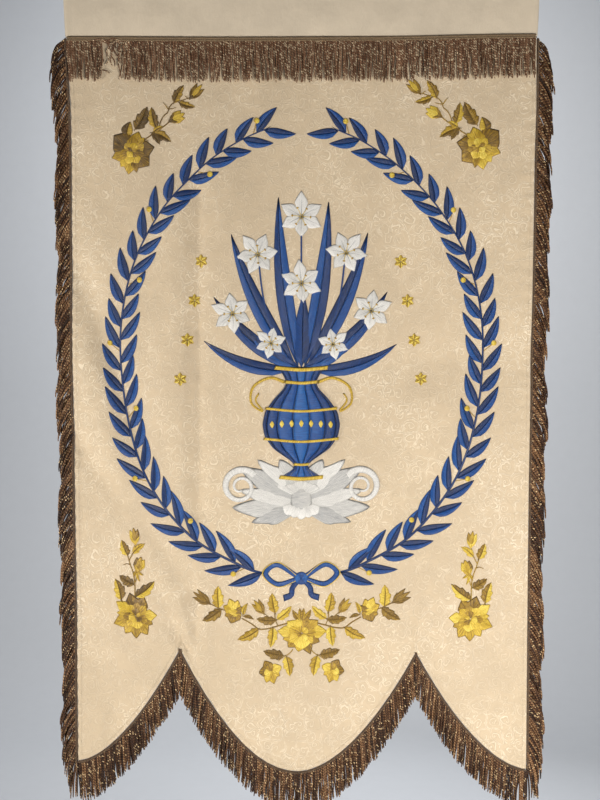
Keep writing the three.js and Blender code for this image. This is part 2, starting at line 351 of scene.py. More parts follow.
@dataclass(frozen=True)
class DamaskFinish(Finish):
    """Cream damask: scrolls of matt and shining satin in one colour, the shining figure painted lighter as
    painted sheen, with painted shade beside it.
    """

    ground: Colour = (0.670, 0.535, 0.365)
    figure: Colour = (0.830, 0.710, 0.535)
    cell: float = 23.0
    ply: float = 0.45
    figured: bool = True

    def scrolls(self, g: Paint, place: Link) -> tuple[Link, Link]:
        """Draw tendrils that curl about scattered centres, and the stems between them.

        Args:
            g: The material's nodes.
            place: The place on the cloth in millimetres.

        Returns:
            A mask of 1 on the figure, and one of 1 in its painted shade: a band beside each curl, and the
            pattern's dark veins.
        """
        cloud = g.out("ShaderNodeTexNoise", "Color", {"Vector": place, "Scale": 0.045})
        bent = g.vector("ADD", place, g.vector("SCALE", cloud, scale=24.0))
        scaled = g.vector("SCALE", bent, scale=1.0 / self.cell)
        feeds = {"Vector": scaled, "Scale": 1.0, "Randomness": 0.85}
        flat = {"voronoi_dimensions": "2D"}
        cells = g.node("ShaderNodeTexVoronoi", feeds, **flat)
        x, y, _ = g.split(g.vector("SUBTRACT", scaled, cells.outputs["Position"]))
        hand, turn, kind = g.split(cells.outputs["Color"])
        reach = g.vector("LENGTH", g.join(x, y))
        angle = g.math("ARCTAN2", y, x) / TURN * g.math("SIGN", hand - 0.5)
        ring = abs(g.math("FRACT", angle + turn + reach**0.8 * 3.1) - 0.5)
        near = g.ease(reach, 0.50, 0.36) * g.ease(g.noise(place, 0.09), 0.36, 0.50)
        curl = g.ease(ring, 0.16, 0.09) * near
        # Painted shade: a band beside each curl, where the raised figure would shade the ground.
        shade = g.ease(abs(ring - 0.27), 0.11, 0.05) * near
        edge = g.out("ShaderNodeTexVoronoi", "Distance", feeds, feature="DISTANCE_TO_EDGE", **flat)
        stem = g.ease(abs(edge - 0.055), 0.034, 0.016) * g.ease(g.noise(place, 0.05), 0.42, 0.52)
        feeds = {"Vector": scaled, "Scale": 3.1, "Randomness": 1.0}
        leaves = g.out("ShaderNodeTexVoronoi", "Distance", feeds, **flat)
        leaf = g.ease(leaves, 0.30, 0.20) * g.ease(edge, 0.16, 0.10) * g.ease(kind, 0.25, 0.45)
        veins = g.ease(edge, 0.05, 0.02) * g.ease(kind, 0.35, 0.6)
        return g.math("MAXIMUM", g.math("MAXIMUM", curl, stem), leaf), g.math("MAXIMUM", shade, veins)

    def paint(self, g: Paint) -> None:
        """Set the surface in the material's nodes."""
        flat = g.vector("SCALE", g.out("ShaderNodeUVMap", "UV", uv_map="UVMap"), scale=1.0 / MM)
        x, y, _ = g.split(flat)
        cloud, wear = g.noise(flat, 0.006, 3.0), g.noise(flat, 0.028, 4.0, 0.6)
        if self.figured:
            mask, shade = self.scrolls(g, flat)
        else:
            mask = shade = g.ease(g.noise(g.vector("MULTIPLY", flat, (1.0, 0.12, 1.0)), 0.35), 0.45, 0.75)
        # Painted sheen: the satin figure is painted lighter than the ground, more strongly where the cloud
        # noise is high.
        painted_sheen = g.ease(cloud, 0.35, 0.65) * 0.45 + 0.60
        colour = g.blend(mask * (painted_sheen if self.figured else 0.2), self.ground, self.figure)
        # Painted shade: the shade mask darkens the ground beside the curls and along the pattern's dark
        # veins.
        darker_ground = darker(self.ground, 0.84)
        colour = g.blend(shade * (0.7 if self.figured else 0.1), colour, darker_ground)
        colour = g.blend(g.ease((cloud + wear) * 0.5, 0.62, 0.38), colour, g.blend(0.55, colour, darker_ground))
        warp, weft = g.math("SINE", x * (TURN / self.ply)), g.math("SINE", y * (TURN / (self.ply * 1.6)))
        slub = g.noise(g.vector("MULTIPLY", flat, (0.9, 0.06, 1.0)), 1.0, 2.0)
        gloss = 0.22 if self.figured else 0.08
        g.set(Base_Color=colour, Roughness=0.66 - mask * gloss + slub * 0.06)
        g.set(Sheen_Weight=0.25, Sheen_Roughness=0.45, Specular_IOR_Level=0.42)
        figure_depth = 0.22 if self.figured else 0.03
        g.bump((warp * weft * 0.5 + 0.5, 0.05), (slub, 0.10), (mask, figure_depth), (wear, 1.6))


@dataclass(frozen=True)
class SatinFinish(Finish):
    """Machine satin stitch: close shining threads, from a dark to a bright shade, with painted sheen and
    shade.
    """

    shades: tuple[Colour, ...]
    pitch: float = 0.5
    roughness: float = 0.36
    metallic: float = 0.0
    sheen: float = 0.1
    glint: float = 0.12
    streaks: float = 0.9
    line: float = 0.42

    def paint(self, g: Paint) -> None:
        """Set the surface in the material's nodes."""
        along, across, seed = g.split(g.read("thread"))
        thread = across / self.pitch
        single = g.dice(g.join(g.math("FLOOR", thread), g.math("FLOOR", along * 0.16), seed))
        streak = g.noise(g.join(along * 0.06, across * self.line, seed), 1.0, 3.0, 0.65)
        # The shade attribute gives each patch the thread's tone together with painted sheen or shade for the
        # light that its thread direction catches.
        level = g.read("shade", "Fac") + (streak - 0.5) * self.streaks + (single - 0.5) * self.glint
        steps = len(self.shades) - 1
        colour = g.ramp(level, [(i / steps, each) for i, each in enumerate(self.shades)])
        groove = abs(g.math("SINE", thread * (0.5 * TURN)))
        # Painted shade in the grooves between the threads.
        colour = g.blend(g.ease(groove, 0.45, 0.0) * 0.5, colour, darker(self.shades[0], 0.4))
        g.set(Base_Color=colour, Metallic=self.metallic, Roughness=single * 0.14 + self.roughness)
        g.set(Sheen_Weight=self.sheen, Specular_IOR_Level=0.6)
        g.bump((groove, 0.16), (streak, 0.35))


@dataclass(frozen=True)
class CordFinish(Finish):
    """Twisted two-ply cord, dark to copper, with painted shade in its twist and painted glints of a metal
    thread laid in.
    """

    dark: Colour
    middle: Colour
    light: Colour
    glint: Colour
    pitch: float = 4.6
    lift: float = -0.06
    spread: float = 0.40
    glints: float = 0.76
    roughness: float = 0.5

    def paint(self, g: Paint) -> None:
        """Set the surface in the material's nodes."""
        x, y, _ = g.split(g.read("side"))
        run = g.read("along", "Fac")
        luck = g.split(g.read("chance"))
        lane = luck[0] * 40.0
        twist = run / self.pitch + g.math("ARCTAN2", y, x) / TURN
        # Painted shade: the cord is dark in the grooves between its plies and bright on their crowns.
        ply = abs(g.math("SINE", (twist + luck[1]) * (0.5 * TURN)))
        patchy = g.noise(g.join(run * 0.22, lane, luck[2]), 1.0, 2.0)
        # Each strand's luck gives it its own tone, and near the light end of the ramp it also paints
        # highlights along some strands.
        level = ply * 0.5 + (luck[0] * self.spread + self.lift) + (patchy * 0.5 - 0.26)
        colour = g.ramp(level, [(0.05, self.dark), (0.5, self.middle), (0.95, self.light)])
        # Painted glints: random spots on the plies' crowns painted in the glint colour, where the metal
        # thread would catch light.
        spark = g.dice(g.join(g.math("FLOOR", twist * 2.0), g.math("FLOOR", lane * 9.0), 3.0))
        bright = g.ease(spark, self.glints, self.glints + 0.04) * g.ease(ply, 0.25, 0.6)
        g.set(Base_Color=g.blend(bright * 0.7, colour, self.glint), Roughness=self.roughness - bright * 0.2)
        g.set(Metallic=bright * 0.25, Specular_IOR_Level=0.32)
        g.bump((ply, 0.5), (patchy, 0.2))


@dataclass(frozen=True)
class BraidFinish(Finish):
    """The woven heading of a fringe: short slanted loops of one thread."""

    dark: Colour
    light: Colour

    def paint(self, g: Paint) -> None:
        """Set the surface in the material's nodes."""
        place = g.object_place()
        x, _, z = g.split(place)
        loops = g.noise(g.vector("MULTIPLY", place, (0.9, 0.9, 0.5)), 1.0, 3.0, 0.6)
        thread = g.math("SINE", (x + z * 1.4) * (TURN / 0.9))
        colour = g.blend(g.ease(loops + thread * 0.13, 0.3, 0.72), self.dark, self.light)
        g.set(Base_Color=colour, Roughness=0.52, Sheen_Weight=0.15)
        g.bump((thread, 0.15), (loops, 0.3))


@dataclass(frozen=True)
class StudioFinish(Finish):
    """The plain pale paper of the studio."""

    colour: Colour = (0.62, 0.64, 0.67)

    def paint(self, g: Paint) -> None:
        """Set the surface in the material's nodes."""
        grain = g.noise(g.object_place(), 0.02, 2.0)
        g.set(Base_Color=g.blend(grain, self.colour, darker(self.colour, 0.96)), Roughness=0.9)


# Meshes


def keep_values(mesh: bpy.types.Mesh, values: dict[str, Array]) -> None:
    """Keep numbers or vectors on a mesh's points, under their names."""
    for label, value in values.items():
        whole = np.asarray(value, np.float32)
        kind, part = ("FLOAT_VECTOR", "vector") if whole.ndim == 2 else ("FLOAT", "value")
        mesh.attributes.new(label, kind, "POINT").data.foreach_set(part, whole.ravel())


@dataclass
class MeshBuffer:
    """The points, faces and point values of one mesh, in millimetres."""

    points: list[Array] = field(default_factory=list)
    faces: list[Array] = field(default_factory=list)
    values: dict[str, list[Array]] = field(default_factory=dict)
    count: int = 0

    def add(self, points: Array, faces: Array, **values: Array) -> None:
        """Add a shape.

        Args:
            points: Its points, in rows of three.
            faces: Its faces, as rows of point numbers.
            **values: A number or a vector for each point, under the attribute's name.
        """
        self.points.append(np.asarray(points, float))
        self.faces.append(np.asarray(faces, int) + self.count)
        for name, value in values.items():
            self.values.setdefault(name, []).append(np.asarray(value, float))
        self.count += len(points)

    def grid(self, points: Array, close_rows: bool = False, **values: Array) -> None:
        """Add an open grid.

        Args:
            points: Points in rows and columns.
            close_rows: Whether the last row joins the first.
            **values: As for add, in rows and columns.
        """
        rows, columns = points.shape[:2]
        number = np.arange(rows * columns).reshape(rows, columns)
        if close_rows:
            number = np.vstack([number, number[:1]])
        faces = np.stack([number[:-1, :-1], number[1:, :-1], number[1:, 1:], number[:-1, 1:]], axis=-1)
        flat = {name: value.reshape(rows * columns, -1).squeeze() for name, value in values.items()}
        self.add(points.reshape(-1, 3), faces.reshape(-1, 4), **flat)

    def tube(self, points: Array, **values: Array) -> None:
        """Add a grid whose rows run along a closed tube, and cap the tube's two ends."""
        rows, columns = points.shape[:2]
        ends = self.count + np.arange(rows) * columns
        self.grid(points, close_rows=True, **values)
        self.faces += [ends[::-1][None], (ends + columns - 1)[None]]

    def mesh(self, name: str, uv: Array | None = None) -> bpy.types.Mesh:
        """Make the mesh in metres.

        Args:
            name: The mesh's name.
            uv: A flat place for each point, for the mesh's UV map.

        Returns:
            The mesh, shaded smooth.
        """
        made = bpy.data.meshes.new(name)
        faces = [row for block in self.faces for row in block.tolist()]
        made.from_pydata((np.vstack(self.points) * MM).tolist(), [], faces)
        keep_values(made, {label: np.concatenate(blocks) for label, blocks in self.values.items()})
        if uv is not None:
            corner = np.zeros(len(made.loops), int)
            made.loops.foreach_get("vertex_index", corner)
            made.uv_layers.new(name="UVMap").data.foreach_set("uv", uv[corner].astype(np.float32).ravel())
        made.polygons.foreach_set("use_smooth", np.ones(len(made.polygons), bool))
        made.update()
        return made


def show(name: str, mesh: bpy.types.Mesh, material: bpy.types.Material | None = None) -> bpy.types.Object:
    """Put a mesh in the scene as an object at the origin.

    Args:
        name: The object's name.
        mesh: Its mesh.
        material: Its one material, if the mesh has none yet.

    Returns:
        The object.
    """
    if material is not None:
        mesh.materials.append(material)
    piece = bpy.data.objects.new(name, mesh)
    bpy.context.scene.collection.objects.link(piece)
    return piece


def settle(piece: bpy.types.Object, slot: Slot, *nodes: str) -> bpy.types.Object:
    """Say what a piece rides on, which finish it has and which solids it stands for.

    Args:
        piece: The finished piece.
        slot: Its finish in the record.
        *nodes: The solids that it replaces.

    Returns:
        The piece.
    """
    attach(piece, "root")
    if nodes:
        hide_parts(*nodes)
    triangles = sum(len(face.vertices) - 2 for face in piece.data.polygons)
    solids = ", ".join(nodes) or "no solid"
    LOG.info("%s: %d triangles, slot %s, for %s", piece.name, triangles, slot.value, solids)
    return piece


@dataclass(frozen=True)
class HemTurn:
    """A point or notch of the hem, and how round the stretch after it is."""

    x: float
    drop: float
    power: float


@dataclass(frozen=True)
class Crease:
    """A soft trough, or a ridge where depth is negative, along a straight line."""

    top_x: float
    top_z: float
    low_x: float
    low_z: float
    half_width: float
    depth: float

    def at(self, x: Array, z: Array) -> Array:
        """Give how far back the crease takes the cloth at each place."""
        along_x, along_z = self.low_x - self.top_x, self.low_z - self.top_z
        length = math.hypot(along_x, along_z)
        from_x, from_z = x - self.top_x, z - self.top_z
        along = (from_x * along_x + from_z * along_z) / length
        across = (from_x * along_z - from_z * along_x) / length
        past = np.maximum(np.maximum(-along, along - length), 0.0)
        fade = np.exp(-((past / (2.2 * self.half_width)) ** 2))
        return self.depth * fade * np.exp(-((across / self.half_width) ** 2))


@dataclass(frozen=True)
class Wave:
    """A long wave in which the whole panel hangs."""

    length: float
    shift: float
    lean: float
    depth: float


@dataclass(frozen=True)
class ClothForm:
    """The hung form of the banner's panel: its outline, long waves and creases."""

    half_width: float = 425.0
    thickness: float = 2.0
    seam_z: float = -95.0
    gap: float = 0.3
    full_below: float = 320.0
    still_half: float = 180.0
    pucker_reach: float = 20.0
    side_pucker: float = 0.75
    foot_pucker: float = 0.95
    ripple: float = 0.45
    edge_heights: tuple[float, ...] = (-1500, -912, -600, -316, -226, -95)
    left_shifts: tuple[float, ...] = (-6, -5, -4, -6, -5, 1)
    right_shifts: tuple[float, ...] = (-5, -5, -3, -1, 2, 2)
    turns: tuple[HemTurn, ...] = (
        HemTurn(-425, 1337, 1.65),
        HemTurn(-226, 1122, 1.93),
        HemTurn(-3, 1354, 1.81),
        HemTurn(214, 1130, 1.72),
        HemTurn(425, 1349, 1.0),
    )
    creases: tuple[Crease, ...] = (
        Crease(-190, -380, -193, -940, 17, 9),
        Crease(-240, -420, -236, -880, 38, -7),
        Crease(-402, -540, -300, -815, 26, 9),
        Crease(-395, -700, -350, -880, 30, -7),
        Crease(-422, -825, -348, -930, 20, 7),
        Crease(-272, -1005, -205, -1115, 17, 6),
        Crease(-405, -1180, -360, -1330, 32, 6),
        Crease(153, -300, 180, -600, 40, 5),
        Crease(240, -690, 390, -675, 55, 7),
        Crease(330, -980, 300, -1240, 60, -6),
    )
    wrinkles: tuple[Crease, ...] = (
        Crease(-200, -1080, -197, -1180, 9, 4.5),
        Crease(-246, -1172, -216, -1214, 7, 4.0),
        Crease(-226, -1130, -206, -1205, 7, -3.5),
        Crease(-241, -1190, -219, -1216, 6, 2.6),
        Crease(-196, -1165, -190, -1215, 6, -2.2),
        Crease(-178, -1160, -176, -1222, 7, -2.1),
        Crease(-262, -1120, -232, -1180, 9, 2.4),
        Crease(196, -1165, 206, -1218, 7, 2.1),
        Crease(226, -1150, 220, -1205, 8, -1.9),
        Crease(-120, -190, -100, -330, 22, 2.2),
        Crease(60, -190, 40, -300, 26, -1.9),
        Crease(-30, -1290, -18, -1400, 12, 2.1),
        Crease(70, -1250, 40, -1380, 16, -1.9),
        Crease(-345, -1225, -385, -1380, 14, -2.6),
        Crease(372, -1225, 398, -1390, 14, 2.4),
    )
    waves: tuple[Wave, ...] = (Wave(640, 90, 0.1, 6), Wave(270, -40, -0.22, 2.4))

    def depth(self, x: Array, z: Array) -> Array:
        """Give how far back the middle of the cloth hangs at each place."""
        x, z = np.asarray(x, float), np.asarray(z, float)
        below = smooth((self.seam_z - z) / self.full_below)
        back = sum(w.depth * np.sin(TURN * (x + w.shift + w.lean * z) / w.length) for w in self.waves)
        back = back + sum(crease.at(x, z) for crease in self.creases)
        return back * below

    def hem(self, x: Array) -> Array:
        """Give the height of the cloth's lower edge at each place across."""
        x = np.asarray(x, float)
        level = np.zeros_like(x)
        for here, there in zip(self.turns, self.turns[1:]):
            notch, point = sorted((here, there), key=lambda turn: turn.drop)
            share = np.clip((x - point.x) / (notch.x - point.x), 0.0, 1.0)
            stretch = self.seam_z - point.drop + (point.drop - notch.drop) * share**here.power
            level = np.where((x >= here.x) & (x <= there.x), stretch, level)
        return level

    def edge_shift(self, z: Array, side: Side) -> Array:
        """Give how far outwards the sewn side edge is drawn at each height."""
        return np.interp(z, self.edge_heights, self.left_shifts if side is Side.LEFT else self.right_shifts)

    def drawn(self, x: Array, z: Array) -> Array:
        """Give each place across once the side edges are drawn in or out."""
        share = smooth((np.abs(x) - self.still_half) / (self.half_width - self.still_half))
        left, right = self.edge_shift(z, Side.LEFT), self.edge_shift(z, Side.RIGHT)
        return x + share * np.where(x < 0, -left, right)

    def relief(self, x: Array, z: Array) -> Array:
        """Give the small wrinkles and the puckering along the sewn edges."""
        below = smooth((self.seam_z - 12.0 - z) / 60.0)
        fine = sum(crease.at(x, z) for crease in self.wrinkles)
        side = np.exp(-(((self.half_width - np.abs(x)) / self.pucker_reach) ** 2))
        fine = fine + self.side_pucker * side * np.sin(TURN * z / 23.0 + 2.2 * np.sin(z / 57.0) + x / 90.0)
        foot = np.exp(-(((z - self.hem(x)) / self.pucker_reach) ** 2))
        fine = fine + self.foot_pucker * foot * np.sin(TURN * x / 21.0 + 1.9 * np.sin(x / 43.0))
        fine = fine + self.ripple * np.sin(x / 31.0 + 1.3 * np.sin(z / 83.0)) * np.sin(z / 47.0 + x / 120.0)
        return fine * below

    def surface(self, x: Array, z: Array) -> Array:
        """Give the depth of the cloth's middle with its small relief."""
        return self.depth(x, z) + self.relief(x, z)

    def place(self, x: Array, z: Array, out: Array | float) -> Array:
        """Find points over the front of the cloth.

        Args:
            x: Places across.
            z: Heights.
            out: How far each point stands out of the cloth's front face.

        Returns:
            The points, with three numbers in the last axis.
        """
        step = 0.6
        middle = self.surface(x, z)
        slope_x = (self.surface(x + step, z) - self.surface(x - step, z)) / (2 * step)
        slope_z = (self.surface(x, z + step) - self.surface(x, z - step)) / (2 * step)
        size = np.sqrt(1.0 + slope_x**2 + slope_z**2)
        away = (0.5 * self.thickness + out) / size
        moved = self.drawn(x, z)
        return np.stack([moved + slope_x * away, middle - away, z + slope_z * away], axis=-1)


# Panel and sleeve


@dataclass(frozen=True)
class Panel:
    """The damask panel with its three rounded points and its turned hem."""

    form: ClothForm
    columns: int = 148
    rows: int = 216
    turned: float = 9.0
    inside: float = 14.0
    flat_size: tuple[float, float] = (0.850, 1.359)
    flat_area: float = 1.076

    def rim(self) -> Array:
        """Give how far from the edge the rows and columns of the turned hem lie."""
        return np.array([0.0, 1.5, self.turned - 1.5, self.turned])

    def columns_across(self) -> Array:
        """Give the columns' places, closer where the hem is turned."""
        half, rim = self.form.half_width, self.rim()
        plain = np.linspace(-half + self.inside, half - self.inside, self.columns - 2 * len(rim))
        notches = [turn.x for turn in self.form.turns[1:-1]]
        plain = np.array([x for x in plain if min(abs(x - notch) for notch in notches) > 2.0])
        return np.sort(np.concatenate([-half + rim, plain, notches, half - rim]))

    def build(self, finish: DamaskFinish) -> bpy.types.Object:
        """Make the panel.

        Args:
            finish: Its damask.

        Returns:
            The panel.
        """
        form, rim = self.form, self.rim()
        across = self.columns_across()
        foot, top = form.hem(across), form.seam_z - form.gap
        share = np.linspace(0.0, 1.0, self.rows - len(rim))
        upper = (foot + self.inside)[None, :] * (1 - share[:, None]) + top * share[:, None]
        z = np.vstack([foot[None, :] + rim[:, None], upper])
        x = np.broadcast_to(across, z.shape)
        inward = np.minimum(form.half_width - np.abs(x), z - foot[None, :])
        half = 0.45 * form.thickness + 0.35 * (1 - smooth((inward - self.turned + 2.0) / 2.0))
        half = half - 0.35 * (1 - smooth(inward / 1.6))
        middle, moved = form.surface(x, z), form.drawn(x, z)
        sheets = [np.stack([moved, middle + away, z], axis=-1).reshape(-1, 3) for away in (-half, half)]
        number = np.arange(z.size).reshape(z.shape)
        behind = number + z.size
        ring, under = self.ring(number), self.ring(behind)
        edge = np.stack([ring, under, np.roll(under, -1), np.roll(ring, -1)], axis=1)
        buffer = MeshBuffer()
        buffer.add(np.concatenate(sheets), np.vstack([self.quads(number), self.quads(behind)[:, ::-1], edge]))
        uv = np.stack([x.ravel(), z.ravel()], axis=1) * MM
        mesh = buffer.mesh("panel_cloth", np.vstack([uv, uv]))
        return settle(show("panel_cloth", mesh, finish.build("damask")), Slot.DAMASK, "panel")

    @staticmethod
    def quads(number: Array) -> Array:
        """Give the faces of a grid of point numbers, facing the front."""
        corners = [number[:-1, :-1], number[:-1, 1:], number[1:, 1:], number[1:, :-1]]
        return np.stack(corners, axis=-1).reshape(-1, 4)

    @staticmethod
    def ring(number: Array) -> Array:
        """Give the point numbers round a grid's edge."""
        return np.concatenate([number[0, :], number[1:, -1], number[-1, -2::-1], number[-2:0:-1, 0]])


@dataclass(frozen=True)
class Sleeve:
    """The plain sleeve for the crossbar, arched over it and sewn to the panel."""

    form: ClothForm
    length: float = 856.0
    height: float = 95.0
    bar_radius: float = 17.0
    wall: float = 1.6
    foot: float = 8.0
    steps: int = 56
    flat_size: tuple[float, float] = (0.856, 0.212)

    def outline(self, radius: float, low: float, low_half: float) -> Array:
        """Lay the section from the back foot over the bar to the front foot.

        Args:
            radius: The arch's radius.
            low: The height of the feet.
            low_half: How far each foot is from the middle.

        Returns:
            The points, as depth and height.
        """
        centre = -(self.bar_radius + self.wall)
        lean = math.atan2(radius - low_half, centre - low)
        angle = np.linspace(-lean, math.pi + lean, 200)
        arc = np.stack([radius * np.cos(angle), centre + radius * np.sin(angle)], axis=1)
        return spaced(np.vstack([[low_half, low], arc, [-low_half, low]]), self.steps)

    def build(self, finish: DamaskFinish) -> bpy.types.Object:
        """Make the sleeve.

        Args:
            finish: Its plain satin, painted darker than the panel as painted shade.

        Returns:
            The sleeve.
        """
        outer = self.outline(self.bar_radius + self.wall, -self.height, self.wall + 0.2)
        inner = self.outline(self.bar_radius, -self.height + self.foot, 0.3)[::-1]
        section = np.vstack([outer, inner])
        half = 0.5 * self.length
        ends = np.array([0.0, 1.2, 7.0, 8.5])
        along = np.concatenate([-half + ends, np.linspace(-half + 14, half - 14, 130), (half - ends)[::-1]])
        depth, z = section[:, 0][:, None], section[:, 1][:, None]
        x, risen = along[None, :], z + self.height
        inward = half - np.abs(x)
        slack = np.sin(math.pi * np.clip(risen / 60.0, 0.0, 1.0))
        bulge = slack * (1.2 + 0.9 * np.sin(x / 61.0) + 0.6 * np.sin(x / 23.0))
        pull = 0.35 * np.sin(x / 17.0 + z / 21.0) * np.sin(x / 97.0 + 1.0) * smooth(risen / 14.0)
        turned = 0.45 * smooth((8.6 - inward) / 1.2) * smooth(inward / 1.0)
        outward = np.concatenate([np.ones(self.steps), np.zeros(self.steps)])[:, None]
        y = depth + np.sign(depth) * (bulge + outward * turned) + pull
        flap = 3.5 * smooth((x - half + 30.0) / 30.0) * smooth(depth / 6.0) * smooth(risen / 25.0)
        sag = -0.5 * (1 + np.sin(x / 140.0 + 0.7)) * smooth((z + 30.0) / 30.0)
        buffer = MeshBuffer()
        buffer.grid(np.stack([x + flap, y, z + sag], axis=-1), close_rows=True)
        number = np.arange(y.size).reshape(y.shape)
        pairs = np.arange(self.steps - 1)
        far = len(section) - 1 - pairs
        for end, rows in ((0, (far, far - 1, pairs + 1, pairs)), (-1, (pairs + 1, far - 1, far, pairs))):
            buffer.faces.append(np.stack([number[row, end] for row in rows], axis=1))
        run = run_of(section)
        uv = np.stack([np.broadcast_to(x, y.shape), np.broadcast_to(run[:, None], y.shape)], axis=-1)
        mesh = buffer.mesh("sleeve_cloth", uv.reshape(-1, 2) * MM)
        return settle(show("sleeve_cloth", mesh, finish.build("sleeve_satin")), Slot.DAMASK, "sleeve")


# Rows and strands


@dataclass
class PathLine:
    """A line that strands or stitches follow, with values at each of its points."""

    points: Array
    values: dict[str, Array] = field(default_factory=dict)

    def object(self, name: str) -> bpy.types.Object:
        """Make an object of the line's edges, with its values as attributes."""
        mesh = bpy.data.meshes.new(name)
        edges = [(i, i + 1) for i in range(len(self.points) - 1)]
        mesh.from_pydata((np.asarray(self.points, float) * MM).tolist(), edges, [])
        keep_values(mesh, self.values)
        return show(name, mesh)


class GeometryTree(Graph):
    """A Geometry Nodes tree with named inputs, for pieces that follow a line."""

    sockets = {float: "NodeSocketFloat", int: "NodeSocketInt"}

    def __init__(self, name: str, inputs: dict[str, float | int]) -> None:
        """Start the tree with its inputs and their usual values."""
        tree = bpy.data.node_groups.new(name, "GeometryNodeTree")
        super().__init__(tree)
        add = tree.interface.new_socket
        add(name="Geometry", in_out="INPUT", socket_type="NodeSocketGeometry")
        add(name="Material", in_out="INPUT", socket_type="NodeSocketMaterial")
        for label, value in inputs.items():
            made = add(name=label, in_out="INPUT", socket_type=self.sockets[type(value)])
            made.default_value = value
        add(name="Geometry", in_out="OUTPUT", socket_type="NodeSocketGeometry")
        self.entry = self.node("NodeGroupInput")
        self.build()

    def given(self, name: str) -> Link:
        """Give one of the tree's named inputs."""
        return Link(self, self.entry.outputs[name])

    def build(self) -> None:
        """Make the tree's nodes."""
        raise NotImplementedError

    def end(self, geometry: object) -> None:
        """Make instances real, give them their material and end the tree."""
        real = self.node("GeometryNodeRealizeInstances", {"Geometry": geometry})
        shaded = self.node("GeometryNodeSetShadeSmooth", {"Geometry": real})
        feeds = {"Geometry": shaded, "Material": self.given("Material")}
        self.node("NodeGroupOutput", {"Geometry": self.node("GeometryNodeSetMaterial", feeds)})

    def run(
        self, line: PathLine, name: str, material: bpy.types.Material, inputs: dict[str, float | int]
    ) -> bpy.types.Object:
        """Grow a plain mesh on a line.

        Args:
            line: The line to follow.
            name: The new piece's name.
            material: Its material.
            inputs: The tree's inputs by name.

        Returns:
            The piece, with its modifier already made real.
        """
        piece = line.object(name)
        modifier = piece.modifiers.new(name, "NODES")
        modifier.node_group = self.tree
        items = self.tree.interface.items_tree
        known = {item.name: item.identifier for item in items if item.in_out == "INPUT"}
        modifier[known["Material"]] = material
        for label, value in inputs.items():
            modifier[known[label]] = value
        graph = bpy.context.evaluated_depsgraph_get()
        grown = piece.evaluated_get(graph)
        mesh = bpy.data.meshes.new_from_object(grown, preserve_all_data_layers=True, depsgraph=graph)
        old = piece.data
        piece.modifiers.remove(modifier)
        piece.data = mesh
        bpy.data.meshes.remove(old)
        mesh.name = name
        return piece


